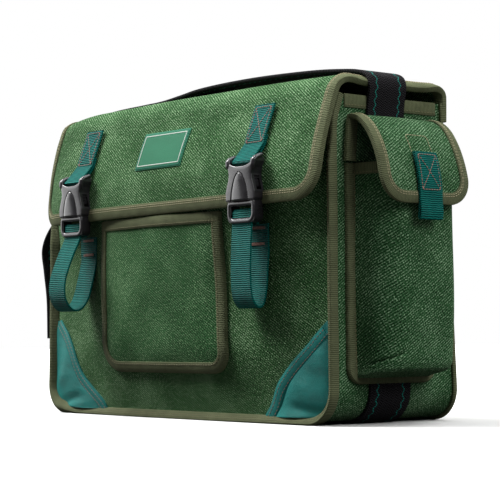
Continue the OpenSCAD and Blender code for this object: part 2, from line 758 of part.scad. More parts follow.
// Shape of the hanging end, as shares of how far it stands out and drops
tail_shares = [[0, 0], [0.05, 0.08], [0.36, 0.2], [0.8, 0.32],
  [1, 0.44], [0.95, 0.58], [0.87, 0.76], [0.85, 1]];
module strap_tail() color(black_web) {
  start = [slider_x - tail_eye_r + strap_t / 2 + 2 * clear, slider_z];
  path = spline([for (s = tail_shares) start - [s[0] * tail_out, s[1] * tail_drop]], 4);
  difference() {
    union() {
      lengthways(strap_y0, strap_y1) ribbon(path, strap_t);
      translate([slider_x, strap_y0, slider_z]) rotate([-90, 0, 0]) cylinder(r = tail_eye_r, h = strap_w);
    }
    translate([slider_x, strap_y0 - over, slider_z]) rotate([-90, 0, 0])
      cylinder(r = bar_r + clear, h = strap_w + 2 * over);
  }
}

front_panel();
back_panel();
gusset_left();
gusset_right();
bottom_panel();
bottom_board();
front_binding();
rear_binding();
front_hem();
gusset_hem_left();
gusset_hem_right();
corner_patch_left();
corner_patch_right();
front_pocket();
front_pocket_binding();
front_pocket_hem();
side_pocket();
side_pocket_binding();
hook_pad();
pocket_flap_seam();
anchor_left();
anchor_right();
loop_left();
loop_right();
strap_base();
strap_side_left();
strap_side_right();
main_flap();
flap_binding();
label_patch();
flap_strap_left();
flap_strap_right();
socket_left();
socket_right();
pocket_flap();
pocket_flap_binding();
loop_pad();
pull_tab();
plug_left();
plug_right();
prong_left_outer();
prong_left_inner();
prong_right_outer();
prong_right_inner();
carry_strap();
strap_slider();
strap_tail();
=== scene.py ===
import json
import logging
import math
from abc import ABC, abstractmethod
from dataclasses import dataclass
from enum import Enum
from typing import Any, Sequence

import bmesh
import bpy
import numpy as np
from mathutils import Matrix

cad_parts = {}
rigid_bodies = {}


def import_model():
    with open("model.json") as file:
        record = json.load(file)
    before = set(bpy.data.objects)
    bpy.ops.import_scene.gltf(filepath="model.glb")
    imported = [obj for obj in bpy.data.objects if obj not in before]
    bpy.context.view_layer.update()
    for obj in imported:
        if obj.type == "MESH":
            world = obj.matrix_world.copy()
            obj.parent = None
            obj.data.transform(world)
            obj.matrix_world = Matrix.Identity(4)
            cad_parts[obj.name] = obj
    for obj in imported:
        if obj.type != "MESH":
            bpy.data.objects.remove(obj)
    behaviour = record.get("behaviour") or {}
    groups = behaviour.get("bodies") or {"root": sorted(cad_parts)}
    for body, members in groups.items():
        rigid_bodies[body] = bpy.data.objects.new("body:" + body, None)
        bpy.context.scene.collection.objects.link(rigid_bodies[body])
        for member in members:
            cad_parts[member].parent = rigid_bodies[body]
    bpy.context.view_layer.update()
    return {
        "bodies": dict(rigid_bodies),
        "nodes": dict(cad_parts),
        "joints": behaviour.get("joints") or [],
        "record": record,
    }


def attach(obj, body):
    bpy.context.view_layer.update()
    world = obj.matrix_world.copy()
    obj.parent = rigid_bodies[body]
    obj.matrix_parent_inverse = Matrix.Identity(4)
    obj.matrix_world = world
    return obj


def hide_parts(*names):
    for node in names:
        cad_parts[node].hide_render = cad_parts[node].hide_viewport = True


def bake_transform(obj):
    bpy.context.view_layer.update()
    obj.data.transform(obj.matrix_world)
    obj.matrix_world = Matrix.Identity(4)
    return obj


log = logging.getLogger("tool_bag")

MM = 0.001
PATTERN = "pattern"
Array = np.ndarray


class Side(Enum):
    """Left and right, by the sign of x."""

    LEFT = -1
    RIGHT = 1


class Stitch(Enum):
    """Kinds of sewn stitches: spacing, length and radius of the thread, in millimetres."""

    PLAIN = (3.4, 2.5, 0.36)
    BINDING = (3.0, 2.2, 0.28)
    EDGE = (2.8, 2.0, 0.28)
    PATCH = (3.4, 2.2, 0.27)
    LABEL = (2.6, 1.9, 0.25)
    BOX = (2.9, 2.2, 0.34)
    TACK = (1.15, 1.1, 0.46)
    TAB = (3.0, 2.3, 0.3)


# ---- Sizes, in millimetres: the CAD model's, or the photo's where the two differ ----


@dataclass(frozen=True)
class BodySize:
    """The bag's walls.

    The front face stands at -(half_depth + bow (1 - (x / half_width)^2) G(z)), where G grows from
    foot_share at the base to 1 at swell_z as a quarter sine.
    """

    half_width: float = 200.0
    half_depth: float = 67.5
    mouth_z: float = 261.0
    corner: float = 28.0
    seam: float = 2.6
    cloth: float = 3.0
    drawn_back: float = 7.0
    bow: float = 15.0
    foot_share: float = 0.15
    swell_z: float = 110.0
    rear_lean: float = 14.0
    rear_bulge: float = 2.5
    gusset_sag: float = 1.6
    tape: float = 7.0
    seam_depth: float = 4.2
    ridge: float = 4.9
    left_from: float = -138.0
    left_span: float = 65.0
    foot_swell: float = 2.4
    foot_swell_z: float = 54.0
    foot_swell_span: float = 24.0


@dataclass(frozen=True)
class PatchSize:
    """The corner patches. Their slanted edges are points (x, z), with x away from the middle."""

    left: tuple[tuple[float, float], ...] = (
        (101, 5), (105, 11.8), (112.4, 18), (123, 25), (137, 36.3), (145.5, 48.5), (152, 60), (163, 74), (180, 86.5))
    right: tuple[tuple[float, float], ...] = (
        (117, 5), (127.5, 17), (135.2, 30.8), (145.4, 41.6), (159.2, 53.8), (171.3, 63.7), (182.8, 74.2), (194, 83.5))
    outer: float = 194.2
    foot_z: float = 6.0
    corner: float = 22.0
    hem: float = 13.0


@dataclass(frozen=True)
class FlapSize:
    """The main flap: its profile in the side view, and how its left end is drawn in."""

    top_z: float = 278.0
    hem_z: float = 176.0
    hem_out: float = 85.5
    front_r: float = 24.0
    slope: float = 20.0
    rear_r: float = 12.0
    rear_y: float = 58.4
    sewn_z: float = 246.0
    cloth: float = 3.2
    corner: float = 26.0
    crown: float = 3.6
    droop: float = 6.5
    turn: float = 4.5
    narrow: float = 9.0
    sink: float = 7.0
    bow: float = 4.0
    tape: float = 10.0
    half_width: float = 199.3


@dataclass(frozen=True)
class PocketSize:
    """The front pocket."""

    left: float = -95.0
    right_top: float = 77.0
    right_foot: float = 84.0
    foot_z: float = 40.0
    top_z: float = 173.5
    r_left: float = 28.0
    r_right: float = 19.0
    rise: float = 1.8
    puff: float = 5.0
    cloth: float = 2.0
    tape: float = 9.5


@dataclass(frozen=True)
class SidePocketSize:
    """The bellows pocket on the right wall."""

    wall_x: float = 197.4
    y: float = -6.0
    width: float = 80.0
    depth: float = 36.0
    corner: float = 18.0
    foot_z: float = 41.0
    top_z: float = 206.0
    cloth: float = 2.4
    flange: float = 8.5
    lean: float = 5.2
    tuck: float = 2.6


@dataclass(frozen=True)
class SideFlapSize:
    """The side pocket's flap: a quarter ellipse in the front view and a sewn wing behind."""

    fold_x: float = 201.5
    y: float = -6.0
    width: float = 96.0
    top_z: float = 244.0
    hem_z: float = 174.0
    reach: float = 39.5
    wing_z: float = 207.6
    cloth: float = 2.4
    corner: float = 22.0
    tape: float = 9.0


@dataclass(frozen=True)
class ClosureSize:
    """Closure webbing and the buckles that it carries."""

    x: float = 121.0
    width: float = 25.0
    thick: float = 1.7
    buckle_y: float = -92.25
    socket_bar_z: float = 210.3
    plug_bar_z: float = 169.7
    bar_r: float = 1.7
    bar_gap: float = 0.3
    sewn_top_z: float = 258.0
    free_z: float = 224.5
    anchor_top_z: float = 161.0
    anchor_z: float = 142.0
    mouth_z: float = 179.0
    socket_thick: float = 10.5
    plug_thick: float = 9.03
    plug_half: float = 16.92


@dataclass(frozen=True)
class StrapSize:
    """The black carrying strap."""

    y: float = -8.0
    width: float = 45.0
    thick: float = 2.6
    join_z: float = 216.0
    slider_z: float = 226.0
    slider_x: float = -205.2
    tail_out: float = 63.0
    tail_drop: float = 157.0


BODY = BodySize()
PATCH = PatchSize()
FLAP = FlapSize()
POCKET = PocketSize()
SIDE_POCKET = SidePocketSize()
SIDE_FLAP = SideFlapSize()
CLOSURE = ClosureSize()
STRAP = StrapSize()


# ---- Curves ----


def dense(points: Sequence[Sequence[float]], step: float = 2.0) -> Array:
    """Catmull-Rom curve through points, resampled at an even spacing.

    Args:
        points: Points of any dimension.
        step: Spacing of the result.

    Returns:
        The resampled points.
    """
    p = np.asarray(points, float)
    q = np.vstack([2 * p[0] - p[1], p, 2 * p[-1] - p[-2]])
    t = np.linspace(0, 1, 25)[:-1, None]
    parts = [
        (2 * b + (c - a) * t + (2 * a - 5 * b + 4 * c - d) * t**2 + (3 * b - a - 3 * c + d) * t**3) / 2
        for a, b, c, d in zip(q[:-3], q[1:-2], q[2:-1], q[3:])
    ]
    return evenly(np.vstack([*parts, p[-1:]]), step)


def lengths(path: Array) -> Array:
    """Distance along a path at each of its points."""
    return np.concatenate([[0.0], np.cumsum(np.linalg.norm(np.diff(path, axis=0), axis=1))])


def evenly(path: Array, step: float) -> Array:
    """The path resampled at an even spacing.

    Args:
        path: Points (n, k).
        step: Spacing of the result.

    Returns:
        The resampled points.
    """
    s = lengths(path)
    n = max(2, int(round(s[-1] / step)) + 1)
    at = np.linspace(0, s[-1], n)
    return np.stack([np.interp(at, s, path[:, k]) for k in range(path.shape[1])], axis=1)


def unit(v: Array) -> Array:
    """Vectors scaled to length 1."""
    return v / np.linalg.norm(v, axis=-1, keepdims=True)


def upright(points: Array, y: float) -> Array:
    """Points (x, z) set up in the plane at y."""
    return np.stack([points[:, 0], np.full(len(points), y), points[:, 1]], axis=1)


def ring_uv(path: Array, across: Array) -> Array:
    """Pattern coordinates of rings: the way along their path, and a second one across it."""
    return np.stack(np.broadcast_arrays(lengths(path)[:, None], across), axis=-1)


def arc(centre: Sequence[float], r: float, start: float, end: float, n: int = 12) -> Array:
    """Points on a circle between two angles.

    Args:
        centre: Its centre.
        r: Its radius.
        start: First angle in degrees.
        end: Last angle in degrees.
        n: Number of points.

    Returns:
        The points.
    """
    a = np.radians(np.linspace(start, end, n))
    return np.stack([centre[0] + r * np.cos(a), centre[1] + r * np.sin(a)], axis=1)


def rectangle(left: float, right: float, low: float, high: float, inset: float = 0.0) -> Array:
    """The closed line of a rectangle, from its lower left corner.

    Args:
        left: Left edge.
        right: Right edge.
        low: Lower edge.
        high: Upper edge.
        inset: How far the line lies inside the edges.

    Returns:
        Its five points.
    """
    left, right, low, high = left + inset, right - inset, low + inset, high - inset
    return np.array([[left, low], [right, low], [right, high], [left, high], [left, low]])


def soft_u(left: float, right: float, foot: float, top: float, r_left: float, r_right: float,
           right_top: float | None = None) -> Array:
    """A U from the top left, round two lower corners, to the top right.

    Args:
        left: Left edge.
        right: Right edge at the foot.
        foot: Lower edge.
        top: Height of both ends.
        r_left: Radius of the left corner.
        r_right: Radius of the right corner.
        right_top: Right edge at the top, where it differs.

    Returns:
        The path's points.
    """
    return evenly(np.vstack([
        [[left, top]],
        arc((left + r_left, foot + r_left), r_left, 180, 270),
        arc((right - r_right, foot + r_right), r_right, 270, 360),
        [[right if right_top is None else right_top, top]],
    ]), 3.0)


def ripple(a: Array, b: Array, seed: int, size: float, waves: int = 6) -> Array:
    """Gentle unevenness of cloth: a seeded sum of long waves.

    Each wave adds cos(k . (a, b) + phase), with wavelengths from 55 to 150 mm.

    Args:
        a: Pattern coordinate across.
        b: The same, along.
        seed: Seed of the waves.
        size: Greatest height that the sum can reach.
        waves: Number of waves.

    Returns:
        The heights.
    """
    rng = np.random.default_rng(seed)
    total = np.zeros(np.broadcast(a, b).shape)
    for _ in range(waves):
        turn, phase = rng.uniform(0, 2 * np.pi, 2)
        k = 2 * np.pi / rng.uniform(55, 150)
        total = total + np.cos(k * (a * np.cos(turn) + b * np.sin(turn)) + phase)
    return size * total / waves


# ---- Meshes ----


class Shape:
    """Collects vertices, faces and pattern coordinates in millimetres, and makes one object."""

    def __init__(self) -> None:
        """Starts with no points and no faces."""
        self.verts: list[Array] = []
        self.faces: list[list[int]] = []
        self.uvs: list[list[tuple[float, float]]] = []
        self.count = 0

    def _quads(self, index: Array, uv: Array) -> None:
        """Adds quads.

        Args:
            index: Grid of point indices.
            uv: Grid of the same shape, with pattern coordinates.
        """
        i = np.stack([index[:-1, :-1], index[:-1, 1:], index[1:, 1:], index[1:, :-1]], axis=-1).reshape(-1, 4)
        t = np.stack([uv[:-1, :-1], uv[:-1, 1:], uv[1:, 1:], uv[1:, :-1]], axis=2).reshape(-1, 4, 2)
        self.faces.extend(i.tolist())
        self.uvs.extend(t.tolist())

    def _points(self, p: Array) -> Array:
        """Adds points.

        Args:
            p: Grid of points.

        Returns:
            Their indices in the same grid.
        """
        flat = p.reshape(-1, 3)
        index = np.arange(self.count, self.count + len(flat)).reshape(p.shape[:-1])
        self.verts.append(flat)
        self.count += len(flat)
        return index

    def slab(self, top: Array, under: Array, uv: Array) -> "Shape":
        """A closed sheet between two grids of points.

        Args:
            top: Grid (n, m, 3) of the outer face.
            under: Grid (n, m, 3) of the inner face.
            uv: Grid (n, m, 2) of pattern coordinates.

        Returns:
            This shape.
        """
        a, b = self._points(top), self._points(under)
        self._quads(a, uv)
        self._quads(b, uv)
        for edge in (np.s_[0, :], np.s_[-1, :], np.s_[:, 0], np.s_[:, -1]):
            t = uv[edge]
            self._quads(np.stack([a[edge], b[edge]]), np.stack([t, t + 0.8]))
        return self

    def loft(self, rings: Array, uv: Array) -> "Shape":
        """A closed tube through rings (n, m, 3), with both ends capped.

        Args:
            rings: Points of each ring.
            uv: Grid (n, m, 2) of pattern coordinates.

        Returns:
            This shape.
        """
        index = self._points(rings)
        self._quads(np.hstack([index, index[:, :1]]), np.concatenate([uv, uv[:, :1]], axis=1))
        for end in (0, -1):
            self.faces.append(index[end].tolist())
            self.uvs.append(uv[end].tolist())
        return self

    def build(self, name: str, material: bpy.types.Material, sharp: float = 42.0) -> bpy.types.Object:
        """Makes the object, with outward faces and smooth shading.

        Args:
            name: Object name.
            material: Its one material.
            sharp: Edges over this angle in degrees stay sharp.

        Returns:
            The new object, linked to the scene.
        """
        mesh = bpy.data.meshes.new(name)
        mesh.from_pydata((np.vstack(self.verts) * MM).tolist(), [], self.faces)
        layer = mesh.uv_layers.new(name=PATTERN)
        layer.data.foreach_set("uv", np.concatenate([np.asarray(u, float) for u in self.uvs]).ravel() * MM)
        bm = bmesh.new()
        bm.from_mesh(mesh)
        bmesh.ops.recalc_face_normals(bm, faces=bm.faces)
        bm.to_mesh(mesh)
        bm.free()
        mesh.polygons.foreach_set("use_smooth", np.ones(len(mesh.polygons), bool))
        mesh.set_sharp_from_angle(angle=math.radians(sharp))
        mesh.materials.append(material)
        mesh.update()
        obj = bpy.data.objects.new(name, mesh)
        bpy.context.scene.collection.objects.link(obj)
        return obj


# ---- Cloth surfaces ----


class Skin(ABC):
    """A cloth surface: flat pattern coordinates (a, b) in millimetres to points in space."""

    sign = 1.0

    @abstractmethod
    def point(self, a: Array, b: Array) -> Array:
        """The point on the outer face.

        Args:
            a: Pattern coordinate across, in millimetres.
            b: The same, along.

        Returns:
            The points, with x, y and z on the last axis.
        """

    def at(self, a: Array, b: Array, h: Array | float = 0.0) -> Array:
        """The point over the outer face, along its normal.

        Args:
            a: Pattern coordinate across.
            b: The same, along.
            h: Height over the face.

        Returns:
            The points.
        """
        a, b, h = np.broadcast_arrays(np.asarray(a, float), np.asarray(b, float), np.asarray(h, float))
        d = 0.6
        across = self.point(a + d, b) - self.point(a - d, b)
        along = self.point(a, b + d) - self.point(a, b - d)
        n = np.cross(across, along) * self.sign
        n /= np.maximum(np.linalg.norm(n, axis=-1, keepdims=True), 1e-9)
        return self.point(a, b) + n * h[..., None]

    def sheet(self, a: Array, b: Array, top: Array | float, under: Array | float) -> Shape:
        """A cloth sheet over grids a, b, between two heights."""
        return Shape().slab(self.at(a, b, top), self.at(a, b, under), np.stack([a, b], axis=-1))

    def tape(self, path: Array, section: Array, flip: bool = False, shape: Shape | None = None) -> Shape:
        """A tape with a closed section swept along a path on the cloth.

        Args:
            path: Points (n, 2) in the pattern.
            section: Points (m, 2): distance to the path's left, and height. Or (n, m, 2), one for
                each point of the path.
            flip: Measures the distance to the path's right instead.
            shape: Shape to add to.

        Returns:
            The shape.
        """
        t = unit(np.gradient(path, axis=0))
        left = np.stack([-t[:, 1], t[:, 0]], axis=1) * (-1 if flip else 1)
        section = np.broadcast_to(section, (len(path), *section.shape[-2:]))
        a = path[:, None, 0] + left[:, None, 0] * section[..., 0]
        b = path[:, None, 1] + left[:, None, 1] * section[..., 0]
        return (shape or Shape()).loft(self.at(a, b, section[..., 1]), ring_uv(path, section[..., 0]))

    def stitches(self, path: Array, h: float, kind: Stitch = Stitch.PLAIN, shape: Shape | None = None) -> Shape:
        """A row of sewn stitches, each a short raised thread with drawn-in ends.

        Args:
            path: Points (n, 2) in the pattern.
            h: Height of the row over the cloth.
            kind: Kind of stitch.
            shape: Shape to add to.

        Returns:
            The shape.
        """
        shape = shape or Shape()
        pitch, length, radius = kind.value
        row = evenly(path, pitch)
        centres = (row[1:] + row[:-1]) / 2
        t = unit(row[1:] - row[:-1])
        along = np.array([-0.5, -0.3, 0.0, 0.3, 0.5]) * length
        fat = np.array([0.3, 0.9, 1.0, 0.9, 0.3]) * radius
        turn = np.linspace(0, 2 * np.pi, 7)[:-1]
        for c, d in zip(centres, t):
            w = fat[:, None] * np.cos(turn)[None, :]
            a = c[0] + along[:, None] * d[0] - w * d[1]
            b = c[1] + along[:, None] * d[1] + w * d[0]
            z = h + fat[:, None] * np.sin(turn)[None, :] - 0.25 * (radius - fat[:, None])
            shape.loft(self.at(a, b, z), np.stack([a, b], axis=-1))
        return shape


def left_end(x: Array) -> Array:
    """How far a point is into the bag's left end: the square of its share of that end's span."""
    return np.clip((BODY.left_from - x) / BODY.left_span, 0, 1.03) ** 2


class FrontSkin(Skin):
    """The front panel: a is x and b is z. Its left end is drawn back, less so towards the base.

    A low swell near the foot turns the strip below it downwards, as in the photo.
    """

    def point(self, a: Array, b: Array) -> Array:
        """The point on the outer face, as for every skin."""
        rise = np.sin(np.pi / 2 * np.clip(b / BODY.swell_z, 0, 1))
        share = BODY.foot_share + (1 - BODY.foot_share) * rise
        wide = np.clip(1 - (a / BODY.half_width) ** 2, 0, 1)
        out = BODY.half_depth + BODY.bow * wide * share
        out = out + BODY.foot_swell * wide * np.exp(-((b - BODY.foot_swell_z) / BODY.foot_swell_span) ** 2)
        # Under the flap and at the mouth a cap by height holds it back: the two meet in a soft minimum
        cap = np.interp(b, [120, 178, 200, 222, 240, 250, 261, 270], [99, 80.6, 78.4, 73.6, 68.2, 64.2, 60.0, 56.5])
        cap = cap + 3.2 * wide * np.clip((250 - b) / 45, 0, 1)
        k = 1.4
        out = -k * np.logaddexp(-out / k, -cap / k)
        loose = wide**0.5 * np.clip(b / 30, 0, 1) * np.clip((215 - b) / 35, 0.15, 1)
        back = BODY.drawn_back * left_end(a) * (1 - np.exp(-b / 35))
        return np.stack([a, back - out + ripple(a, b, 5, 1.5) * loose, b], axis=-1)


class BackSkin(Skin):
    """The back panel: a is x and b is z."""

    sign = -1.0

    def point(self, a: Array, b: Array) -> Array:
        """The point on the outer face, as for every skin."""
        wide = np.clip(1 - (a / BODY.half_width) ** 2, 0, 1)
        y = BODY.half_depth - BODY.rear_lean * b / BODY.mouth_z
        swell = BODY.rear_bulge * wide * np.sin(np.pi * np.clip(b / BODY.mouth_z, 0, 1))
        return np.stack([a, y + swell + ripple(a, b, 8, 1.0) * wide**0.5 * np.clip(b / 30, 0, 1), b], axis=-1)


class ProfileSkin(Skin):
    """A cloth surface that follows one profile line, with b as the way along it.

    The first points of the line, as many as rising says, go up from the hem.
    """

    line: Array
    s: Array
    rising = 0

    def profile(self, b: Array) -> tuple[Array, Array]:
        """Both coordinates of the profile at b."""
        return np.interp(b, self.s, self.line[:, 0]), np.interp(b, self.s, self.line[:, 1])

    def up(self, z: float) -> float:
        """Pattern coordinate b of a height on the rising part."""
        return float(np.interp(z, self.line[:self.rising, 1], self.s[:self.rising]))


class GussetSkin(ProfileSkin):
    """The side and bottom walls in one strip: a is y, and b runs from the left mouth, down, across
    the base and up to the right mouth. The profile goes on by spare over both mouths."""

    spare = 30.0

    def __init__(self) -> None:
        """Works out the profile from the body's sizes."""
        inset, top = BODY.seam, BODY.mouth_z + self.spare
        r = BODY.corner - inset
        edge = BODY.half_width - inset
        self.line = np.vstack([
            [[-edge, top], [-edge, BODY.mouth_z]],
            arc((-edge + r, inset + r), r, 180, 270, 40),
            arc((edge - r, inset + r), r, 270, 360, 40),
            [[edge, BODY.mouth_z], [edge, top]],
        ])
        self.s = lengths(self.line) - self.spare
        self.length = float(self.s[-1]) - self.spare

    def z_side(self, z: float, right: bool) -> float:
        """The strip coordinate b at height z on one side."""
        down = BODY.mouth_z - z
        return self.length - down if right else down

    def ends(self, b: Array) -> tuple[Array, Array]:
        """The strip's front and back edges.

        Args:
            b: Strip coordinates.

        Returns:
            y of both edges there.
        """
        x, z = self.profile(b)
        front = FRONT.point(np.clip(x, -199, 199), z)[..., 1] + 2.0
        back = BODY.half_depth - BODY.rear_lean * z / BODY.mouth_z - 2.0
        return front, back

    def point(self, a: Array, b: Array) -> Array:
        """The point on the outer face, as for every skin."""
        x, z = self.profile(b)
        upright = np.clip((z - 20) / 60, 0, 1)
        bend = BODY.gusset_sag * np.clip(1 - (a / 62) ** 2, 0, 1) * upright
        wave = ripple(a, b, 11, 1.1) * np.clip(1 - (a / 60) ** 2, 0, 1) * upright
        return np.stack([x - np.sign(x) * (bend + wave), a + 0 * x, z], axis=-1)


class FlapSkin(ProfileSkin):
    """The main flap: a is x, and b runs from the hem up the front, over the mouth and down behind.

    Over the mouth it crowns by crown (1 - (x / 200)^2), and its side edges droop with the square of
    their last 16 mm. The left end hugs the bag: with left_end it goes in by narrow, back with the
    front panel and low down by turn more, and its crest drops by sink. The profile goes on by spare
    beyond both ends.
    """

    spare = 12.0

    def __init__(self) -> None:
        """Works out the profile from the flap's sizes."""
        f = FLAP
        slope = math.radians(f.slope)
        shoulder_z = f.top_z - f.front_r * (1 - math.sin(slope))
        drop = shoulder_z - 178.0
        flare = drop * math.tan(slope) * 2 / math.pi
        shoulder_y = flare - f.hem_out
        t = np.linspace((shoulder_z - f.hem_z + self.spare) / drop, 0, 50)
        hang = np.stack([
            shoulder_y - flare * np.sin(np.pi / 2 * np.minimum(t, 1.0)),
            shoulder_z - drop * t,
        ], axis=1)
        centre = (shoulder_y + f.front_r * math.cos(slope), f.top_z - f.front_r)
        over = arc(centre, f.front_r, 180 - f.slope, 90, 24)[1:]
        rear = arc((f.rear_y - f.rear_r, f.top_z - f.rear_r), f.rear_r, 90, 0, 20)
        down = [[f.rear_y - 0.4, f.sewn_z], [f.rear_y - 0.4, f.sewn_z - self.spare]]
        self.line = evenly(np.vstack([hang, over, rear, down]), 1.0)
        s = lengths(self.line)
        self.s = s - np.interp(f.hem_z, self.line[:60, 1], s[:60])
        self.top_start = float(np.interp(centre[0], self.line[:, 0], self.s))
        self.length = float(self.s[-1]) - self.spare
        self.rising = int(np.argmax(self.line[:, 1] > f.top_z - 0.4))

    def point(self, a: Array, b: Array) -> Array:
        """The point on the outer face, as for every skin."""
        y, z = self.profile(b)
        wide = np.clip(1 - (a / 200) ** 2, 0, 1)
        front = np.clip((250 - z) / 45, 0, 1) * (b < self.top_start)
        top = np.clip((b - self.top_start + 22) / 45, 0, 1) * np.clip((self.length - 22 - b) / 40, 0, 1)
        top = np.sin(np.pi / 2 * top)
        wave = ripple(a, b, 21, 1.5)
        loose = np.clip((self.length - 10 - b) / 30, 0, 1)
        z = z + (FLAP.crown * wide + 0.7 * wave - FLAP.droop * np.clip((np.abs(a) - 184) / 16, 0, 1.1) ** 2) * top
        z = z + 1.6 * (a / 200) * np.clip(1 - b / 60, 0, 1)
        y = y - (FLAP.bow * wide * front) + 0.5 * wave * loose * (1 - top)
        left = left_end(a)
        y = y + left * (FLAP.turn * front + BODY.drawn_back * np.clip(1 - (b - self.top_start) / 70, 0, 1))
        z = z - FLAP.sink * left * top
        return np.stack([a + FLAP.narrow * left + 0 * y, y, z], axis=-1)


class PocketSkin(Skin):
    """The front pocket: the front panel's surface, raised away from the sewn edges."""

    def __init__(self) -> None:
        """Works out the sewn edge."""
        p = POCKET
        self.edge = soft_u(p.left, p.right_foot, p.foot_z, p.top_z + 20, p.r_left, p.r_right, p.right_top - 1)

    def raised(self, a: Array, b: Array) -> Array:
        """Height over the front panel: it grows with the distance from the sewn edges.

        Args:
            a: Pattern coordinate across.
            b: The same, along.

        Returns:
            The heights.
        """
        flat = np.stack([a, b], axis=-1).reshape(-1, 1, 2)
        near = np.sqrt(((flat - self.edge[None]) ** 2).sum(-1)).min(1).reshape(np.shape(a))
        return POCKET.rise + POCKET.puff * (1 - np.exp(-near / 22)) + ripple(a, b, 31, 0.8) * np.clip(near / 20, 0, 1)

    def point(self, a: Array, b: Array) -> Array:
        """The point on the outer face, as for every skin."""
        a, b = np.broadcast_arrays(a, b)
        return FRONT.at(a, b, self.raised(a, b))


class SidePocketSkin(Skin):
    """The side pocket's outer wall: a runs round it from the front edge to the back edge, 0 at the
    middle of its face. b is the height, and below turn_z it rolls under to the wall.

    The face puffs out by (1 - (y / 40)^2) times half a sine of the height and leans back by lean. A
    groove as deep as tuck, with a Gaussian section, is the envelope fold at its lower front corner.
    """

    turn_z = 54.0

    def __init__(self) -> None:
        """Works out the plan, and how the wall rolls under at its foot."""
        s = SIDE_POCKET
        half, r, d = s.width / 2, s.corner, s.depth
        inner = 1.5
        plan = np.vstack([
            [[inner, -half]],
            arc((d - r, -half + r), r, 270, 360, 24),
            arc((d - r, half - r), r, 0, 90, 24),
            [[inner, half]],
        ])
        self.plan = evenly(plan, 1.0)
        self.a = lengths(self.plan)
        self.a -= self.a[-1] / 2
        self.half = float(self.a[-1])
        roll = np.array([[1, self.turn_z + 400], [1, self.turn_z], [0.985, 48.5], [0.94, 44.6], [0.84, 42.2],
                         [0.6, 40.2], [0.3, 38.4], [0.02, 36.6]])
        self.roll = roll
        self.b = self.turn_z - (lengths(roll * [s.depth, 1]) - 400)
        self.foot = float(self.b[-1])

    def point(self, a: Array, b: Array) -> Array:
        """The point on the outer face, as for every skin."""
        s = SIDE_POCKET
        x = np.interp(a, self.a, self.plan[:, 0])
        y = np.interp(a, self.a, self.plan[:, 1])
        share = np.interp(-b, -self.b, self.roll[:, 0])
        z = np.interp(-b, -self.b, self.roll[:, 1])
        face = np.clip(x / s.depth, 0, 1)
        middle = np.clip(1 - (y / 40) ** 2, 0, 1)
        full = np.clip((b - 44) / 40, 0, 1)
        rise = np.sin(np.pi * np.clip((z - 40) / 162, 0, 1))
        puff = 3.0 * middle * full * rise + ripple(a, b, 41, 1.3) * full * face
        wide = 1 + 0.03 * np.sin(np.pi * np.clip((z - 40) / 170, 0, 1)) * (1 - face) + 0.035 * face * full
        lean = s.lean * face * np.clip((b - 30) / 18, 0, 1)
        tuck = s.tuck * np.exp(-((b - 55.5 - 0.30 * (a + 27)) / 0.85) ** 2)
        tuck = tuck * np.clip((a + 57) / 8, 0, 1) * np.clip((-20 - a) / 7, 0, 1)
        tuck_y = 0.7 * tuck * np.clip((-a - 24) / 14, 0, 1)
        return np.stack([s.wall_x + x * share + puff * face - tuck * face, s.y + lean + y * wide + tuck_y, z], axis=-1)


class SideFlapSkin(ProfileSkin):
    """The side pocket's flap: a is y, and b runs from the hem up, over the fold and down the wing."""

    def __init__(self) -> None:
        """Works out the profile from the flap's sizes."""
        f = SIDE_FLAP
        q = np.radians(np.linspace(100, 2, 70))
        tall = f.top_z - f.hem_z
        out = np.stack([f.fold_x + 0.8 + f.reach * np.minimum(np.sin(q), 1), f.hem_z + tall * np.cos(q)], axis=1)
        out[:, 0] = np.where(q > np.pi / 2, f.fold_x + 0.8 + f.reach, out[:, 0])
        back = dense([out[-1], [f.fold_x + 0.2, f.top_z - 0.4], [f.fold_x - 0.8, f.top_z - 3.2],
                      [f.fold_x - 0.9, f.top_z - 9], [f.fold_x - 0.9, f.wing_z - 8]], 1.0)[1:]
        self.line = evenly(np.vstack([out, back]), 0.8)
        s = lengths(self.line)
        self.s = s - np.interp(f.hem_z, self.line[:30, 1], s[:30])
        self.rising = int(np.argmax(self.line[:, 1]))
        self.top = float(self.s[self.rising])
        self.length = float(self.s[-1]) - 8

    def point(self, a: Array, b: Array) -> Array:
        """The point on the outer face, as for every skin."""
        x, z = self.profile(b)
        wide = np.clip(1 - ((a - SIDE_FLAP.y) / 48) ** 2, 0, 1)
        hung = np.clip((self.top - b) / 30, 0, 1)
        x = x + ripple(a, b, 51, 0.9) * hung - 1.0 * (1 - wide) * hung
        z = z + 1.4 * wide * np.clip(1 - np.abs(b - self.top + 8) / 26, 0, 1)
        spread = 1 + 0.07 * np.clip((b - self.top) / 34, 0, 1)
        return np.stack([x, SIDE_FLAP.y + (a - SIDE_FLAP.y) * spread, z], axis=-1)


FRONT = FrontSkin()
BACK = BackSkin()
GUSSET = GussetSkin()
FLAP_SKIN = FlapSkin()
POCKET_SKIN = PocketSkin()
SIDE_SKIN = SidePocketSkin()
SIDE_FLAP_SKIN = SideFlapSkin()


def between(left: Array, right: Array, rows: Array, n: int) -> tuple[Array, Array]:
    """Grids between two edges.

    Args:
        left: Left edge at each row.
        right: Right edge at each row.
        rows: Pattern coordinate b of each row.
        n: Columns.

    Returns:
        Grids a and b.
    """
    a = left[:, None] + (right - left)[:, None] * np.linspace(0, 1, n)
    return a, np.broadcast_to(rows[:, None], a.shape).copy()


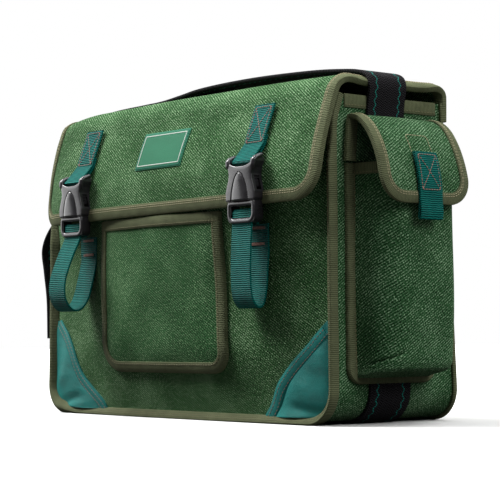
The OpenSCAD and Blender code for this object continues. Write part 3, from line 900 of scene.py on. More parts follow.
def panel_grid(foot: float, top: float, corner: float, half: float, n: int = 90, m: int = 64,
               lift: int = 14) -> tuple[Array, Array]:
    """Grids a and b over a panel with two rounded lower corners.

    Args:
        foot: Lower edge.
        top: Upper edge.
        corner: Radius of the corners.
        half: Half of the width.
        n: Columns.
        m: Rows over the corners.
        lift: Rows beside the corners, and one more.

    Returns:
        Both grids.
    """
    low = corner * (1 - np.cos(np.linspace(0, np.pi / 2, lift)))
    b = np.concatenate([foot + low[:-1], np.linspace(foot + corner, top, m)])
    low = np.clip(foot + corner - b, 0, corner)
    edge = half - (corner - np.sqrt(np.maximum(corner**2 - low**2, 0)))
    a = edge[:, None] * np.linspace(-1, 1, n)[None, :]
    return a, np.broadcast_to(b[:, None], a.shape).copy()


def seam_rows(skin: Skin, half: float, top: float, corner: float, rows: Sequence[tuple[float, float]],
              kind: Stitch, middle: float = 0.0) -> Shape:
    """Rows of stitches round a panel's bound edge.

    Args:
        skin: The panel's surface.
        half: Half of the panel's width.
        top: Upper end of the rows.
        corner: Radius of the panel's lower corners.
        rows: Distance from the edge and height of each row.
        kind: Kind of stitch.
        middle: The panel's middle.

    Returns:
        The shape.
    """
    shape = Shape()
    for inset, height in rows:
        line = soft_u(middle - half + inset, middle + half - inset, inset, top, corner - inset, corner - inset)
        skin.stitches(evenly(line, 3.0), height, kind, shape)
    return shape


def crossed_box(skin: Skin, middle: float, low: float, high: float, h: float) -> Shape:
    """Stitches in a box with a cross, a little narrower than the closure webbing.

    Args:
        skin: The surface sewn on.
        middle: Middle of the box.
        low: Its lower edge.
        high: Its upper edge.
        h: Height of the stitches over the surface.

    Returns:
        The shape.
    """
    w = CLOSURE.width / 2 - 2.6
    box = rectangle(-w, w, low, high)
    shape = Shape()
    for line in (box, box[[0, 2]], box[[1, 3]]):
        skin.stitches(evenly(line + [middle, 0], 0.5), h, Stitch.BOX, shape)
    return shape


def fold_section(width: float, over: float, under: float, edge: float = 0.5) -> Array:
    """Section of a tape folded round an edge.

    Args:
        width: How far it reaches in.
        over: Its height over the cloth's face.
        under: Its depth under the face.
        edge: How far it stands out from the edge.

    Returns:
        Distance from the edge, and height, of each point.
    """
    return np.array([
        [width, -0.1], [width - 0.1, over * 0.7], [width - 0.9, over], [width * 0.5, over * 1.06], [0.9, over],
        [-edge * 0.5, over * 0.55], [-edge, (over - under) / 2], [-edge * 0.5, -under * 0.85], [0.9, -under],
        [width - 0.9, -under], [width - 0.1, -under + 0.5],
    ])


def flat_section(width: float, low: float, high: float, side: float = 0.5, n: int = 7) -> Array:
    """Section of webbing with round edges, over the path's middle.

    Args:
        width: Width of the webbing.
        low: Height of its lower face.
        high: Height of its upper face.
        side: How far the round edge reaches in.
        n: Points across each face.

    Returns:
        The closed section.
    """
    half, mid = width / 2, (low + high) / 2
    w = np.linspace(-half + side, half - side, n)
    up = np.stack([w, np.full(n, high)], axis=1)
    down = np.stack([w[::-1], np.full(n, low)], axis=1)
    return np.vstack([up, [[half - 0.1, (mid + high) / 2], [half, mid], [half - 0.1, (mid + low) / 2]],
                      down, [[-half + 0.1, (mid + low) / 2], [-half, mid], [-half + 0.1, (mid + high) / 2]]])


def free_strap(path: Array, across: Sequence[float], width: float, thick: float,
               share: Array | float = 1.0) -> Shape:
    """Webbing along a path in space that lies flat on the direction across.

    A ring is path + share * w * across + h * normal, with (w, h) on a flat section with round edges.

    Args:
        path: Points (n, 3) of the webbing's middle.
        across: Unit direction of its width.
        width: Width.
        thick: Thickness.
        share: Share of the width at each point, where it is drawn in.

    Returns:
        The shape. Its pattern runs along the path and across it.
    """
    w = np.asarray(across, float)
    n = unit(np.cross(unit(np.gradient(path, axis=0)), w))
    section = flat_section(width, -thick / 2, thick / 2)
    drawn = np.broadcast_to(share, len(path))[:, None, None]
    rings = path[:, None] + w * section[None, :, :1] * drawn + n[:, None] * section[None, :, 1:]
    return Shape().loft(rings, ring_uv(path, section[None, :, 0]))


# ---- Finishes ----


def linear(hex_colour: str) -> tuple[float, float, float, float]:
    """An sRGB hex colour as linear values.

    Args:
        hex_colour: Colour as #RRGGBB.

    Returns:
        Linear red, green and blue, and full alpha.
    """
    c = [int(hex_colour[i:i + 2], 16) / 255 for i in (1, 3, 5)]
    r, g, b = (x / 12.92 if x <= 0.04045 else ((x + 0.055) / 1.055) ** 2.4 for x in c)
    return r, g, b, 1.0


class Graph:
    """One material's nodes."""

    def __init__(self, name: str) -> None:
        """Makes a material with no nodes.

        Args:
            name: The material's name.
        """
        self.material = bpy.data.materials.new(name)
        self.material.use_nodes = True
        self.tree = self.material.node_tree
        self.tree.nodes.clear()

    def add(self, kind: str, settings: dict[str, Any] | None = None,
            inputs: dict[Any, Any] | None = None) -> bpy.types.Node:
        """Adds a node.

        Args:
            kind: Its type, without the prefix.
            settings: Its properties.
            inputs: What each input is linked or set to.

        Returns:
            The node.
        """
        node = self.tree.nodes.new("ShaderNode" + kind)
        for key, value in (settings or {}).items():
            setattr(node, key, value)
        for key, value in (inputs or {}).items():
            if isinstance(value, bpy.types.Node):
                value = value.outputs[0]
            if isinstance(value, bpy.types.NodeSocket):
                self.tree.links.new(value, node.inputs[key])
            else:
                node.inputs[key].default_value = value
        return node

    def calc(self, operation: str, *values: Any) -> bpy.types.Node:
        """Adds a calculation on values, in their order."""
        return self.add("Math", {"operation": operation}, dict(enumerate(values)))

    def scaled(self, value: Any, by: Any, plus: Any) -> bpy.types.Node:
        """Adds value times by, plus a third."""
        return self.calc("MULTIPLY_ADD", value, by, plus)

    def wave(self, value: Any, pitch: float) -> bpy.types.Node:
        """Sine of a length in millimetres with a pitch."""
        return self.calc("SINE", self.calc("MULTIPLY", value, 2 * math.pi / pitch))

    def in_mm(self, place: Any) -> bpy.types.Node:
        """Coordinates in metres as millimetres."""
        return self.add("VectorMath", {"operation": "SCALE"}, {0: place, "Scale": 1000.0})

    def pattern(self) -> tuple[Any, Any, Any]:
        """The piece's own pattern coordinates in millimetres: vector, along and across."""
        mm = self.in_mm(self.add("UVMap", {"uv_map": PATTERN}))
        parts = self.add("SeparateXYZ", None, {0: mm})
        return mm, parts.outputs[0], parts.outputs[1]

    def noise(self, vector: Any, stretch: tuple[float, float, float], detail: float = 2.0) -> Any:
        """Noise.

        Args:
            vector: Coordinates in millimetres.
            stretch: Size of a grain along each axis.
            detail: Number of finer layers.

        Returns:
            The noise, from 0 to 1.
        """
        scaled = self.add("VectorMath", {"operation": "DIVIDE"}, {0: vector, 1: stretch})
        return self.add("TexNoise", None, {"Vector": scaled, "Scale": 1.0, "Detail": detail}).outputs["Fac"]

    def surface(self, colour: Any, rough: Any, height: Any | None = None, depth_mm: float = 0.3,
                sheen: float = 0.0, specular: float = 0.3, nap: float = 0.5,
                bloom: str = "#FFFFFF") -> bpy.types.Material:
        """Ends the graph in a surface.

        Args:
            colour: Base colour.
            rough: Roughness.
            height: Relief from 0 to 1.
            depth_mm: Depth of the relief.
            sheen: Weight of the sheen of loose fibres.
            specular: Specular level.
            nap: Roughness of the sheen.
            bloom: Colour of the sheen.

        Returns:
            The material.
        """
        inputs: dict[Any, Any] = {"Base Color": colour, "Roughness": rough, "Specular IOR Level": specular,
                                  "Sheen Weight": sheen, "Sheen Roughness": nap, "Sheen Tint": linear(bloom)}
        if height is not None:
            inputs["Normal"] = self.add("Bump", None, {"Height": height, "Distance": depth_mm * MM, "Strength": 1.0})
        bsdf = self.add("BsdfPrincipled", None, inputs)
        self.add("OutputMaterial", None, {"Surface": bsdf.outputs["BSDF"]})
        return self.material

    def ramp(self, value: Any, stops: Sequence[tuple[float, str]]) -> bpy.types.NodeSocket:
        """Colours a value.

        Args:
            value: The value, from 0 to 1.
            stops: Place and hex colour of each stop.

        Returns:
            The colour.
        """
        node = self.add("ValToRGB", None, {"Fac": value})
        elements = node.color_ramp.elements
        while len(elements) < len(stops):
            elements.new(0.5)
        for element, (place, colour) in zip(elements, stops):
            element.position = place
            element.color = linear(colour)
        return node.outputs["Color"]


@dataclass(frozen=True)
class Finish(ABC):
    """A material of the bag."""

    name: str

    @abstractmethod
    def material(self) -> bpy.types.Material:
        """Builds the material."""


@dataclass(frozen=True)
class CanvasFinish(Finish):
    """Heavy twill canvas, woven of uneven yarn and piece-dyed green.

    It gives the eye fine diagonal ribs, broken up by pale flecks where a thick bit of weft comes to the
    top, over worn areas some centimetres across, and a dusty bloom where it is seen edge-on. The ribs
    are 1.9 to 2 mm apart, drawn coarser than the real 1.3 mm so that they show, and climb at 33 degrees.
    """

    dark: str
    mid: str
    light: str
    lean: float = 1.0
    pitch: float = 1.9
    climb: float = math.radians(33)

    def material(self) -> bpy.types.Material:
        """Builds the material."""
        g = Graph(self.name)
        mm, u, v = g.pattern()
        sway = g.noise(mm, (9.0, 9.0, 1.0), 1.0)
        run = g.calc("MULTIPLY", u, math.sin(self.climb))
        run = g.scaled(v, self.lean * math.cos(self.climb), run)
        run = g.scaled(sway, 1.2, run)
        twill = g.wave(run, self.pitch)
        picks = g.wave(g.scaled(v, -0.5 * self.lean, u), 2.5)
        weft = g.noise(mm, (2.2, 0.8, 1.0), 1.0)
        warp = g.noise(mm, (0.8, 2.2, 1.0), 1.0)
        slub = g.calc("MAXIMUM", weft, warp)
        blotch = g.noise(mm, (46.0, 46.0, 1.0), 3.0)
        tone = g.scaled(twill, 0.14, -0.47)
        tone = g.scaled(picks, 0.05, tone)
        tone = g.scaled(slub, 1.38, tone)
        tone = g.scaled(blotch, 0.42, tone)
        colour = g.ramp(tone, [(0.22, self.dark), (0.45, self.mid), (0.58, self.mid), (0.82, self.light)])
        relief = g.scaled(twill, 0.25, tone)
        return g.surface(colour, 0.95, relief, 0.5, sheen=0.20, specular=0.08, nap=0.35, bloom="#9CC08E")


@dataclass(frozen=True)
class RibFinish(Finish):
    """Woven tape or webbing: ribs across it with a slight herringbone, worn unevenly.

    It gives the eye close, even lines across the band, which catch the light on their crests. Their
    pitch, 1.5 or 1.7 mm, is drawn coarser than the real 1 mm so that it shows.
    """

    base: str
    deep: str
    pitch: float
    lean: float
    depth: float
    rough: float = 0.7
    sheen: float = 0.2
    bite: float = 0.2

    def material(self) -> bpy.types.Material:
        """Builds the material."""
        g = Graph(self.name)
        mm, u, v = g.pattern()
        zig = g.calc("PINGPONG", v, 3.2)
        slant = g.scaled(zig, self.lean, u)
        ribs = g.wave(slant, self.pitch)
        fine = g.noise(mm, (0.5, 0.9, 1.0), 1.0)
        worn = g.noise(mm, (14.0, 9.0, 1.0), 3.0)
        tone = g.scaled(ribs, self.bite, 0.36)
        tone = g.scaled(fine, 0.4, tone)
        tone = g.scaled(worn, 0.36, tone)
        colour = g.ramp(tone, [(0.42, self.deep), (0.95, self.base)])
        relief = g.scaled(fine, 0.7, ribs)
        return g.surface(colour, self.rough, relief, self.depth, sheen=self.sheen, specular=0.08, bloom=self.base)


@dataclass(frozen=True)
class StitchedStrapFinish(Finish):
    """Black polypropylene webbing with two sewn wavy lines of thread along it.

    It gives the eye a near-black herringbone with a faint shine, and two thin, bright lines that waver
    every 7 mm. Its ribs are 1.9 mm apart, drawn coarser than the real 1.2 mm.
    """

    base: str
    deep: str
    thread: str
    thread_deep: str = "#0F5F57"
    offset: float = 14.2
    swing: float = 1.0
    length: float = 7.0

    def material(self) -> bpy.types.Material:
        """Builds the material."""
        g = Graph(self.name)
        mm, u, v = g.pattern()
        zig = g.calc("PINGPONG", v, 2.6)
        ribs = g.wave(g.scaled(zig, 0.6, u), 1.9)
        fine = g.noise(mm, (0.6, 0.9, 1.0), 1.0)
        tone = g.scaled(ribs, 0.4, 0.2)
        tone = g.scaled(fine, 0.5, tone)
        web = g.ramp(tone, [(0.35, self.deep), (0.95, self.base)])
        drift = g.scaled(g.noise(mm, (16.0, 90.0, 1.0), 1.0), 2.4, -1.2)
        side = g.calc("ABSOLUTE", v)
        bend = g.scaled(g.wave(u, self.length), self.swing, self.offset)
        bend = g.calc("ADD", bend, drift)
        off = g.calc("SUBTRACT", side, bend)
        off = g.calc("ABSOLUTE", off)
        line = g.add("MapRange", None, {"Value": off, "From Min": 0.85, "From Max": 0.5})
        twist = g.add("MapRange", None, {"Value": g.wave(u, 1.75), "From Min": -1.3, "From Max": -0.2})
        mask = g.calc("MULTIPLY", line.outputs[0], twist.outputs[0])
        thread = g.ramp(fine, [(0.3, self.thread_deep), (0.7, self.thread)])
        colour = g.add("Mix", {"data_type": "RGBA"}, {0: mask, 6: web, 7: thread})
        relief = g.scaled(mask, 1.6, ribs)
        return g.surface(colour.outputs[2], 0.8, relief, 0.32, sheen=0.02, specular=0.12)


@dataclass(frozen=True)
class PlainClothFinish(Finish):
    """Fine, tightly woven nylon with soft creases.

    It gives the eye a smooth, slightly silky face whose creases are bumps; their low parts are also painted darker,
    from clear to deep colour, as painted shade. Its
    0.7 mm weave is too fine to show and only softens the shine.
    """

    base: str
    deep: str
    crease: float = 26.0
    rough: float = 0.45
    depth: float = 0.5

    def material(self) -> bpy.types.Material:
        """Builds the material."""
        g = Graph(self.name)
        mm, u, v = g.pattern()
        fold = g.noise(mm, (self.crease, self.crease * 0.5, 1.0), 3.0)
        weave = g.calc("MULTIPLY", g.wave(u, 0.7), g.wave(v, 0.7))
        fine = g.noise(mm, (0.6, 0.6, 1.0), 1.0)
        # Painted shade: the same noise as the creases' bump colours their low parts darker, towards deep
        tone = g.scaled(fold, 0.6, 0.05)
        tone = g.scaled(fine, 0.4, tone)
        colour = g.ramp(tone, [(0.3, self.deep), (0.72, self.base)])
        relief = g.scaled(weave, 0.14, fold)
        return g.surface(colour, self.rough, relief, self.depth, sheen=0.05, specular=0.10, bloom=self.base)


@dataclass(frozen=True)
class MouldedFinish(Finish):
    """Injection-moulded acetal: near-black, smooth and half glossy, with a faint spark-eroded grain.

    It gives the eye soft grey highlights along each rounded edge. The grain is 0.35 mm wide.
    """

    base: str
    light: str
    rough: float = 0.30

    def material(self) -> bpy.types.Material:
        """Builds the material."""
        g = Graph(self.name)
        mm = g.in_mm(g.add("TexCoord").outputs["Object"])
        grain = g.noise(mm, (0.35, 0.35, 0.35), 2.0)
        smear = g.noise(mm, (9.0, 9.0, 9.0), 3.0)
        colour = g.ramp(smear, [(0.35, self.base), (0.75, self.light)])
        rough = g.scaled(smear, 0.16, self.rough - 0.08)
        return g.surface(colour, rough, grain, 0.015, specular=0.62)


@dataclass(frozen=True)
class FibreFinish(Finish):
    """Hook and loop pads, pressed board and sewing thread: a dull body with a fibrous grain.

    It gives the eye a matt, slightly mottled face. The grain is 0.3 mm on thread, 0.5 mm on the pads
    and 1.6 mm on board.
    """

    base: str
    deep: str
    grain: float = 0.3
    depth: float = 0.05
    rough: float = 0.7

    def material(self) -> bpy.types.Material:
        """Builds the material."""
        g = Graph(self.name)
        mm = g.in_mm(g.add("TexCoord").outputs["Object"])
        fibre = g.noise(mm, (self.grain, self.grain, self.grain), 3.0)
        colour = g.ramp(fibre, [(0.32, self.deep), (0.62, self.base)])
        return g.surface(colour, self.rough, fibre, self.depth, sheen=0.05, specular=0.2)


class Finishes:
    """Every material of the bag, by the record's slot or by its use."""

    def __init__(self) -> None:
        """Builds every material."""
        self.canvas = CanvasFinish("canvas_twill", "#0A200D", "#345F34", "#A8CC9E").material()
        self.canvas_side = CanvasFinish("canvas_twill_side", "#0A200D", "#35603A", "#A8CEA4", -1.0, 2.0).material()
        self.canvas_dark = CanvasFinish("canvas_twill_pocket", "#0B240E", "#346439", "#9CC492").material()
        self.tape = RibFinish("seam_tape", "#7B8160", "#383F2E", 1.5, 0.12, 0.16, 0.9, 0.08, 0.13).material()
        self.webbing = RibFinish("closure_webbing", "#057A70", "#02332F", 1.7, 0.10, 0.34, 0.62, 0.04).material()
        self.strap = StitchedStrapFinish("strap_webbing", "#2B292E", "#070608", "#2BAA9B").material()
        self.patch = PlainClothFinish("patch_nylon", "#259088", "#0B524E").material()
        self.label = PlainClothFinish("label_cloth", "#347F5F", "#28694D", 60.0, 0.7, 0.12).material()
        self.plastic = MouldedFinish("buckle_acetal", "#1E1C20", "#2E2C31").material()
        self.board = FibreFinish("base_board", "#6A5A45", "#4E4130", 1.6, 0.2, 0.85).material()
        self.pad = FibreFinish("hook_and_loop", "#26382A", "#0F1A12", 0.5, 0.6, 0.85).material()
        self.thread_olive = FibreFinish("thread_olive", "#8F8B68", "#5E5A3E").material()
        self.thread_pale = FibreFinish("thread_pale", "#D2C8A6", "#A2976F").material()
        self.thread_rust = FibreFinish("thread_rust", "#C79C90", "#92655A").material()
        self.thread_white = FibreFinish("thread_white", "#E8ECE6", "#BFC8C0").material()
        self.thread_teal = FibreFinish("thread_teal", "#3BA295", "#1C6A61").material()


# ---- The bag's pieces ----


class Part(ABC):
    """One sub-assembly of the bag."""

    def __init__(self, finish: Finishes, nodes: dict[str, bpy.types.Object]) -> None:
        """Keeps what every sub-assembly needs.

        Args:
            finish: The materials.
            nodes: The CAD nodes by name.
        """
        self.finish = finish
        self.nodes = nodes

    @abstractmethod
    def build(self) -> None:
        """Makes the sub-assembly's pieces."""

    def put(self, shape: Shape, name: str, material: bpy.types.Material, body: str,
            replaces: Sequence[str] = (), slot: str | None = None, sharp: float = 42.0) -> bpy.types.Object:
        """Builds a piece that rides on a CAD body.

        Args:
            shape: The piece's shape.
            name: Its name.
            material: Its material.
            body: The CAD body that it moves with.
            replaces: CAD nodes that it stands for.
            slot: The record's material slot.
            sharp: Angle over which edges stay sharp.

        Returns:
            The piece.
        """
        obj = shape.build(name, material, sharp)
        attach(obj, body)
        return self.declare(obj, replaces, slot)

    def bend(self, shape: Shape, name: str, material: bpy.types.Material, body: str,
             start: Sequence[float], end: Sequence[float], replaces: Sequence[str] = (),
             slot: str | None = None) -> bpy.types.Object:
        """Builds a piece that bends from the bag to another body.

        Args:
            shape: The piece's shape.
            name: Its name.
            material: Its material.
            body: The other CAD body; not used.
            start: Point in millimetres up to which it stays with the bag; not used.
            end: Point from which it moves with the body; not used.
            replaces: CAD nodes that it stands for.
            slot: The record's material slot.

        Returns:
            The piece.
        """
        obj = shape.build(name, material)
        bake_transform(obj)
        return self.declare(obj, replaces, slot)

    def declare(self, obj: bpy.types.Object, replaces: Sequence[str], slot: str | None) -> bpy.types.Object:
        """Hides the CAD nodes that a piece stands for, and reports the piece.

        Args:
            obj: The piece.
            replaces: CAD nodes that it stands for.
            slot: The record's material slot; not used.

        Returns:
            The piece.
        """
        if replaces:
            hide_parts(*replaces)
        log.info("%s: %s with %d faces", type(self).__name__, obj.name, len(obj.data.polygons))
        return obj

    def hem(self, skin: Skin, line: Array, node: str, section: Array, inward: float, height: float,
            flip: bool = False) -> None:
        """A tape folded over a cloth's upper edge, and the row of stitches that holds it.

        Args:
            skin: The cloth's surface.
            line: Points (n, 2) of its edge.
            node: CAD node that the tape stands for, which both names start with.
            section: The tape's section.
            inward: Way from the edge to the stitches.
            height: Height of the stitches.
            flip: Lays the tape to the right of the line instead of the left.
        """
        self.put(skin.tape(line, section, flip), node + "_tape", self.finish.tape, "bag", [node], "tape")
        self.put(skin.stitches(line + [0, inward], height), node + "_stitches", self.finish.thread_olive, "bag")

    def cut(self, obj: bpy.types.Object, a: Array, b: Array, held: str, on: Sequence[str] = ()) -> None:
        """Takes a sheet of cloth and its pattern, and does nothing with them.

        Args:
            obj: The sheet; not used.
            a: Grid of its pattern coordinates in millimetres, across; not used.
            b: The same, along; not used.
            held: How it is held; not used.
            on: What it rests on or is sewn to; not used.
        """

    def web(self, obj: bpy.types.Object, path: Array, width: float, held: str, on: Sequence[str] = ()) -> None:
        """Takes webbing and the path of its middle, and does nothing with them.

        Args:
            obj: The webbing; not used.
            path: Its middle line in millimetres; not used.
            width: Its width in millimetres; not used.
            held: How it is held; not used.
            on: What it rests on or is sewn to; not used.
        """

    def keep(self, node: str, material: bpy.types.Material, round_mm: float) -> None:
        """Shows a CAD node with a material and rounded edges.

        Args:
            node: Its name.
            material: Its material.
            round_mm: Width of the rounding.
        """
        obj = self.nodes[node]
        obj.data.materials.clear()
        obj.data.materials.append(material)
        bevel = obj.modifiers.new("round", "BEVEL")
        bevel.width = round_mm * MM
        bevel.segments = 3
        bevel.limit_method = "ANGLE"
        bevel.angle_limit = math.radians(38)
        bevel.harden_normals = True
        log.info("%s: %s kept from the frame", type(self).__name__, node)


class Walls(Part):
    """Front and back panels, the gusset strip and the base board."""

    def build(self) -> None:
        """Makes both panels, the gusset strip and the board."""
        b = BODY
        a, z = panel_grid(b.seam, b.mouth_z - 1, b.corner - b.seam, b.half_width - b.seam)
        front = self.put(FRONT.sheet(a, z, 0, -b.cloth), "front_panel_cloth", self.finish.canvas, "bag",
                         ["front_panel"], "canvas")
        self.cut(front, a, z, "stretched", ["gusset_cloth"])
        a, z = panel_grid(b.seam, b.mouth_z, b.corner - b.seam, b.half_width - b.seam)
        back = self.put(BACK.sheet(a, z, 0, -b.cloth), "back_panel_cloth", self.finish.canvas, "bag",
                        ["back_panel"], "canvas")
        self.cut(back, a, z, "stretched", ["gusset_cloth"])
        s = np.linspace(0.5, GUSSET.length - 0.5, 260)
        a, s = between(*GUSSET.ends(s), s, 28)
        strip = self.put(GUSSET.sheet(a, s, 0, -b.cloth), "gusset_cloth", self.finish.canvas_side, "bag",
                         ["gusset_left", "gusset_right", "bottom_panel"], "canvas")
        self.cut(strip, a, s, "folded", ["bottom_board"])
        self.keep("bottom_board", self.finish.board, 0.8)


class Seams(Part):
    """Bound seams round both panels, the hems of the mouth and the corner patches."""

    def build(self) -> None:
        """Makes the bound seams, the hems and both patches."""
        b = BODY
        edge = soft_u(-b.half_width, b.half_width, 0.0, b.mouth_z, b.corner, b.corner)
        share = np.clip((232 - edge[:, 1]) / 25, 0.28, 1)
        ridge = np.array([[b.tape, 0.0], [b.tape - 0.2, 0.2], [5.6, 0.40], [3.9, 0.74], [2.7, 0.94], [1.6, 1.0],
                          [0.7, 0.88], [0.1, 0.53]])
        low = np.array([[0, -0.6], [0, -3.0], [0.5, -b.seam_depth], [2.2, -b.seam_depth],
                        [b.seam + 0.2, 0.8 - b.seam_depth], [b.seam + 0.2, -0.4], [b.tape - 0.6, -0.4]])
        high = np.stack(np.broadcast_arrays(ridge[None, :, 0], ridge[None, :, 1] * b.ridge * share[:, None]), axis=-1)
        section = np.concatenate([high, np.broadcast_to(low, (len(edge), *low.shape))], axis=1)
        flat = section * [1, 0.5]
        # Low on the left side the binding stands higher and wider, by this much at each of its upper points
        proud = np.clip((-150 - edge[:, 0]) / 25, 0, 1) * np.clip((180 - edge[:, 1]) / 20, 0, 1)
        stand = np.array([[5.6, 0.0], [5.4, 0.0], [4.9, 0.3], [4.4, 1.6], [3.7, 2.3], [2.9, 2.2], [1.2, 1.0],
                          [0.0, 0.2]])
        section[:, :len(stand)] += proud[:, None, None] * stand
        for skin, node, shape, crest in ((FRONT, "front_binding", section, b.ridge),
                                         (BACK, "rear_binding", flat, b.ridge / 2)):
            self.put(skin.tape(edge, shape), node + "_tape", self.finish.tape, "bag", [node], "tape")
            rows = seam_rows(skin, b.half_width, 208.0, b.corner, [(4.9, 0.56 * crest), (3.5, 0.84 * crest)],
                             Stitch.BINDING)
            self.put(rows, node + "_stitches", self.finish.thread_olive, "bag")
        half = b.half_width - 9.0
        top = evenly(np.array([[half, b.mouth_z], [-half, b.mouth_z]]), 5.0)
        width, under, inward = 10.5, b.cloth + 1.2, 8.4
        self.hem(FRONT, top, "front_hem", fold_section(width, 1.3, under), -inward, 1.35)
        section = fold_section(width, 1.2, under)
        for right, node in ((False, "gusset_hem_left"), (True, "gusset_hem_right")):
            s = GUSSET.length if right else 0.0
            front, back = GUSSET.ends(np.array([s]))
            line = evenly(np.array([[front[0] + 4, s], [back[0] - 4, s]]), 4.0)
            self.hem(GUSSET, line, node, section, -inward if right else inward, 1.25, right)
        for side in Side:
            self.patch(side)

    def patch(self, side: Side) -> None:
        """One corner patch with its folded slanted edge.

        Its cloth stands off by a hump over the middle and soft creases that run to the lower corner.

        Args:
            side: The corner.
        """
        name = side.name.lower()
        r, straight_z = PATCH.corner, PATCH.foot_z + PATCH.corner
        edge = PATCH.left if side is Side.LEFT else PATCH.right
        slant = dense(edge, 1.5)
        z = np.concatenate([PATCH.foot_z + r * (1 - np.cos(np.linspace(0, np.pi / 2, 12)))[:-1],
                            np.linspace(straight_z, edge[-1][1] - 1.0, 48)])
        inner = np.interp(z, slant[:, 1], slant[:, 0])
        outer = PATCH.outer - (r - np.sqrt(r**2 - np.clip(straight_z - z, 0, r) ** 2))
        a, b = between(inner, outer, z, 44)
        a = a * side.value
        room = np.maximum(outer - inner - PATCH.hem, 1.0)[:, None]
        share = np.clip((np.abs(a) - inner[:, None] - PATCH.hem) / room, 0, 1)
        hump = np.sin(np.pi * share) ** 0.8 * np.clip(room / 45, 0, 1)
        fan = np.arctan2(b - 2.0, 205 - np.abs(a))
        crease = np.cos(fan * 9 + side.value) * np.clip(room / 40, 0, 1)
        dent = np.exp(-((b - 15.5 + 0.24 * (np.abs(a) - 150)) / 4.2) ** 2) * np.clip(share * 2.5, 0, 1)
        top = 1.0 + hump * (2.9 + 0.7 * crease + 0.5 * ripple(a, b, 61, 1.0)) * (1 - 0.85 * dent)
        cloth = self.put(FRONT.sheet(a, b, top, 0.05), f"corner_patch_{name}_cloth", self.finish.patch, "bag",
                         [f"corner_patch_{name}"], "patch_cloth")
        self.cut(cloth, a, b, "stretched", ["front_panel_cloth"])
        inside = slant[(slant[:, 1] > 7) & (slant[:, 0] < 188)]
        line = evenly(inside * [side.value, 1], 3.0)
        roll = np.array([[0, 0.1], [0.1, 0.9], [0.7, 1.35], [5.2, 1.6], [10.4, 1.5], [11.0, 1.1], [11.0, 0.1]])
        self.put(FRONT.tape(line, roll, flip=side is Side.RIGHT), f"corner_patch_{name}_fold", self.finish.patch, "bag")
        rows = Shape()
        for shift, height in ((2.5, 1.5), (6.8, 1.58)):
            FRONT.stitches(line + [shift * side.value, -0.75 * shift], height, Stitch.PATCH, rows)
        self.put(rows, f"corner_patch_{name}_stitches", self.finish.thread_rust, "bag")


class FrontPocket(Part):
    """The pocket on the front panel."""

    def build(self) -> None:
        """Makes the pocket's cloth, its bound seam and its hem."""
        p = POCKET
        close = 24.0  # Height above the foot over which the rows lie closer
        z = np.concatenate([p.foot_z + close * (1 - np.cos(np.linspace(0, np.pi / 2, 12)))[:-1],
                            np.linspace(p.foot_z + close, p.top_z, 50)])
        low_left = np.clip(p.foot_z + p.r_left - z, 0, p.r_left)
        low_right = np.clip(p.foot_z + p.r_right - z, 0, p.r_right)
        left = p.left + p.r_left - np.sqrt(p.r_left**2 - low_left**2)
        straight = p.right_foot + (p.right_top - p.right_foot) * (z - p.foot_z) / (p.top_z - p.foot_z)
        right = straight - p.r_right + np.sqrt(p.r_right**2 - low_right**2)
        a, b = between(left, right, z, 56)
        cloth = self.put(POCKET_SKIN.sheet(a, b, 0, -p.cloth), "front_pocket_cloth", self.finish.canvas_dark, "bag",
                         ["front_pocket"], "canvas_dark")
        self.cut(cloth, a, b, "stretched", ["front_panel_cloth"])
        edge = soft_u(p.left, p.right_foot, p.foot_z, p.top_z, p.r_left, p.r_right, p.right_top)
        section = np.array([[p.tape, 0.0], [p.tape - 0.1, 0.9], [p.tape - 0.9, 1.25], [4.5, 1.4], [0.9, 1.25], [0, 0.5],
                            [-0.3, -1.5], [0, -p.rise - 0.1], [2.4, -p.rise - 0.1], [2.6, -1.6], [p.tape - 0.6, -0.3]])
        self.put(POCKET_SKIN.tape(edge, section), "front_pocket_tape", self.finish.tape, "bag",
                 ["front_pocket_binding"], "tape")
        inset = 7.6
        seam = soft_u(p.left + inset, p.right_foot - inset, p.foot_z + inset, p.top_z - 1, p.r_left - inset,
                      p.r_right - inset, p.right_top - inset)
        self.put(POCKET_SKIN.stitches(seam, 1.3), "front_pocket_stitches", self.finish.thread_olive, "bag")
        top = evenly(np.array([[p.right_top - 1.5, p.top_z], [p.left + 1.5, p.top_z]]), 4.0)
        self.hem(POCKET_SKIN, top, "front_pocket_hem", fold_section(9.0, 1.5, p.cloth + 1.0), -7.2, 1.55)


# Start and end points given to bend with the main flap's pieces
HINGE = ((0.0, 58.5, 262.0), (0.0, 50.0, 270.0))


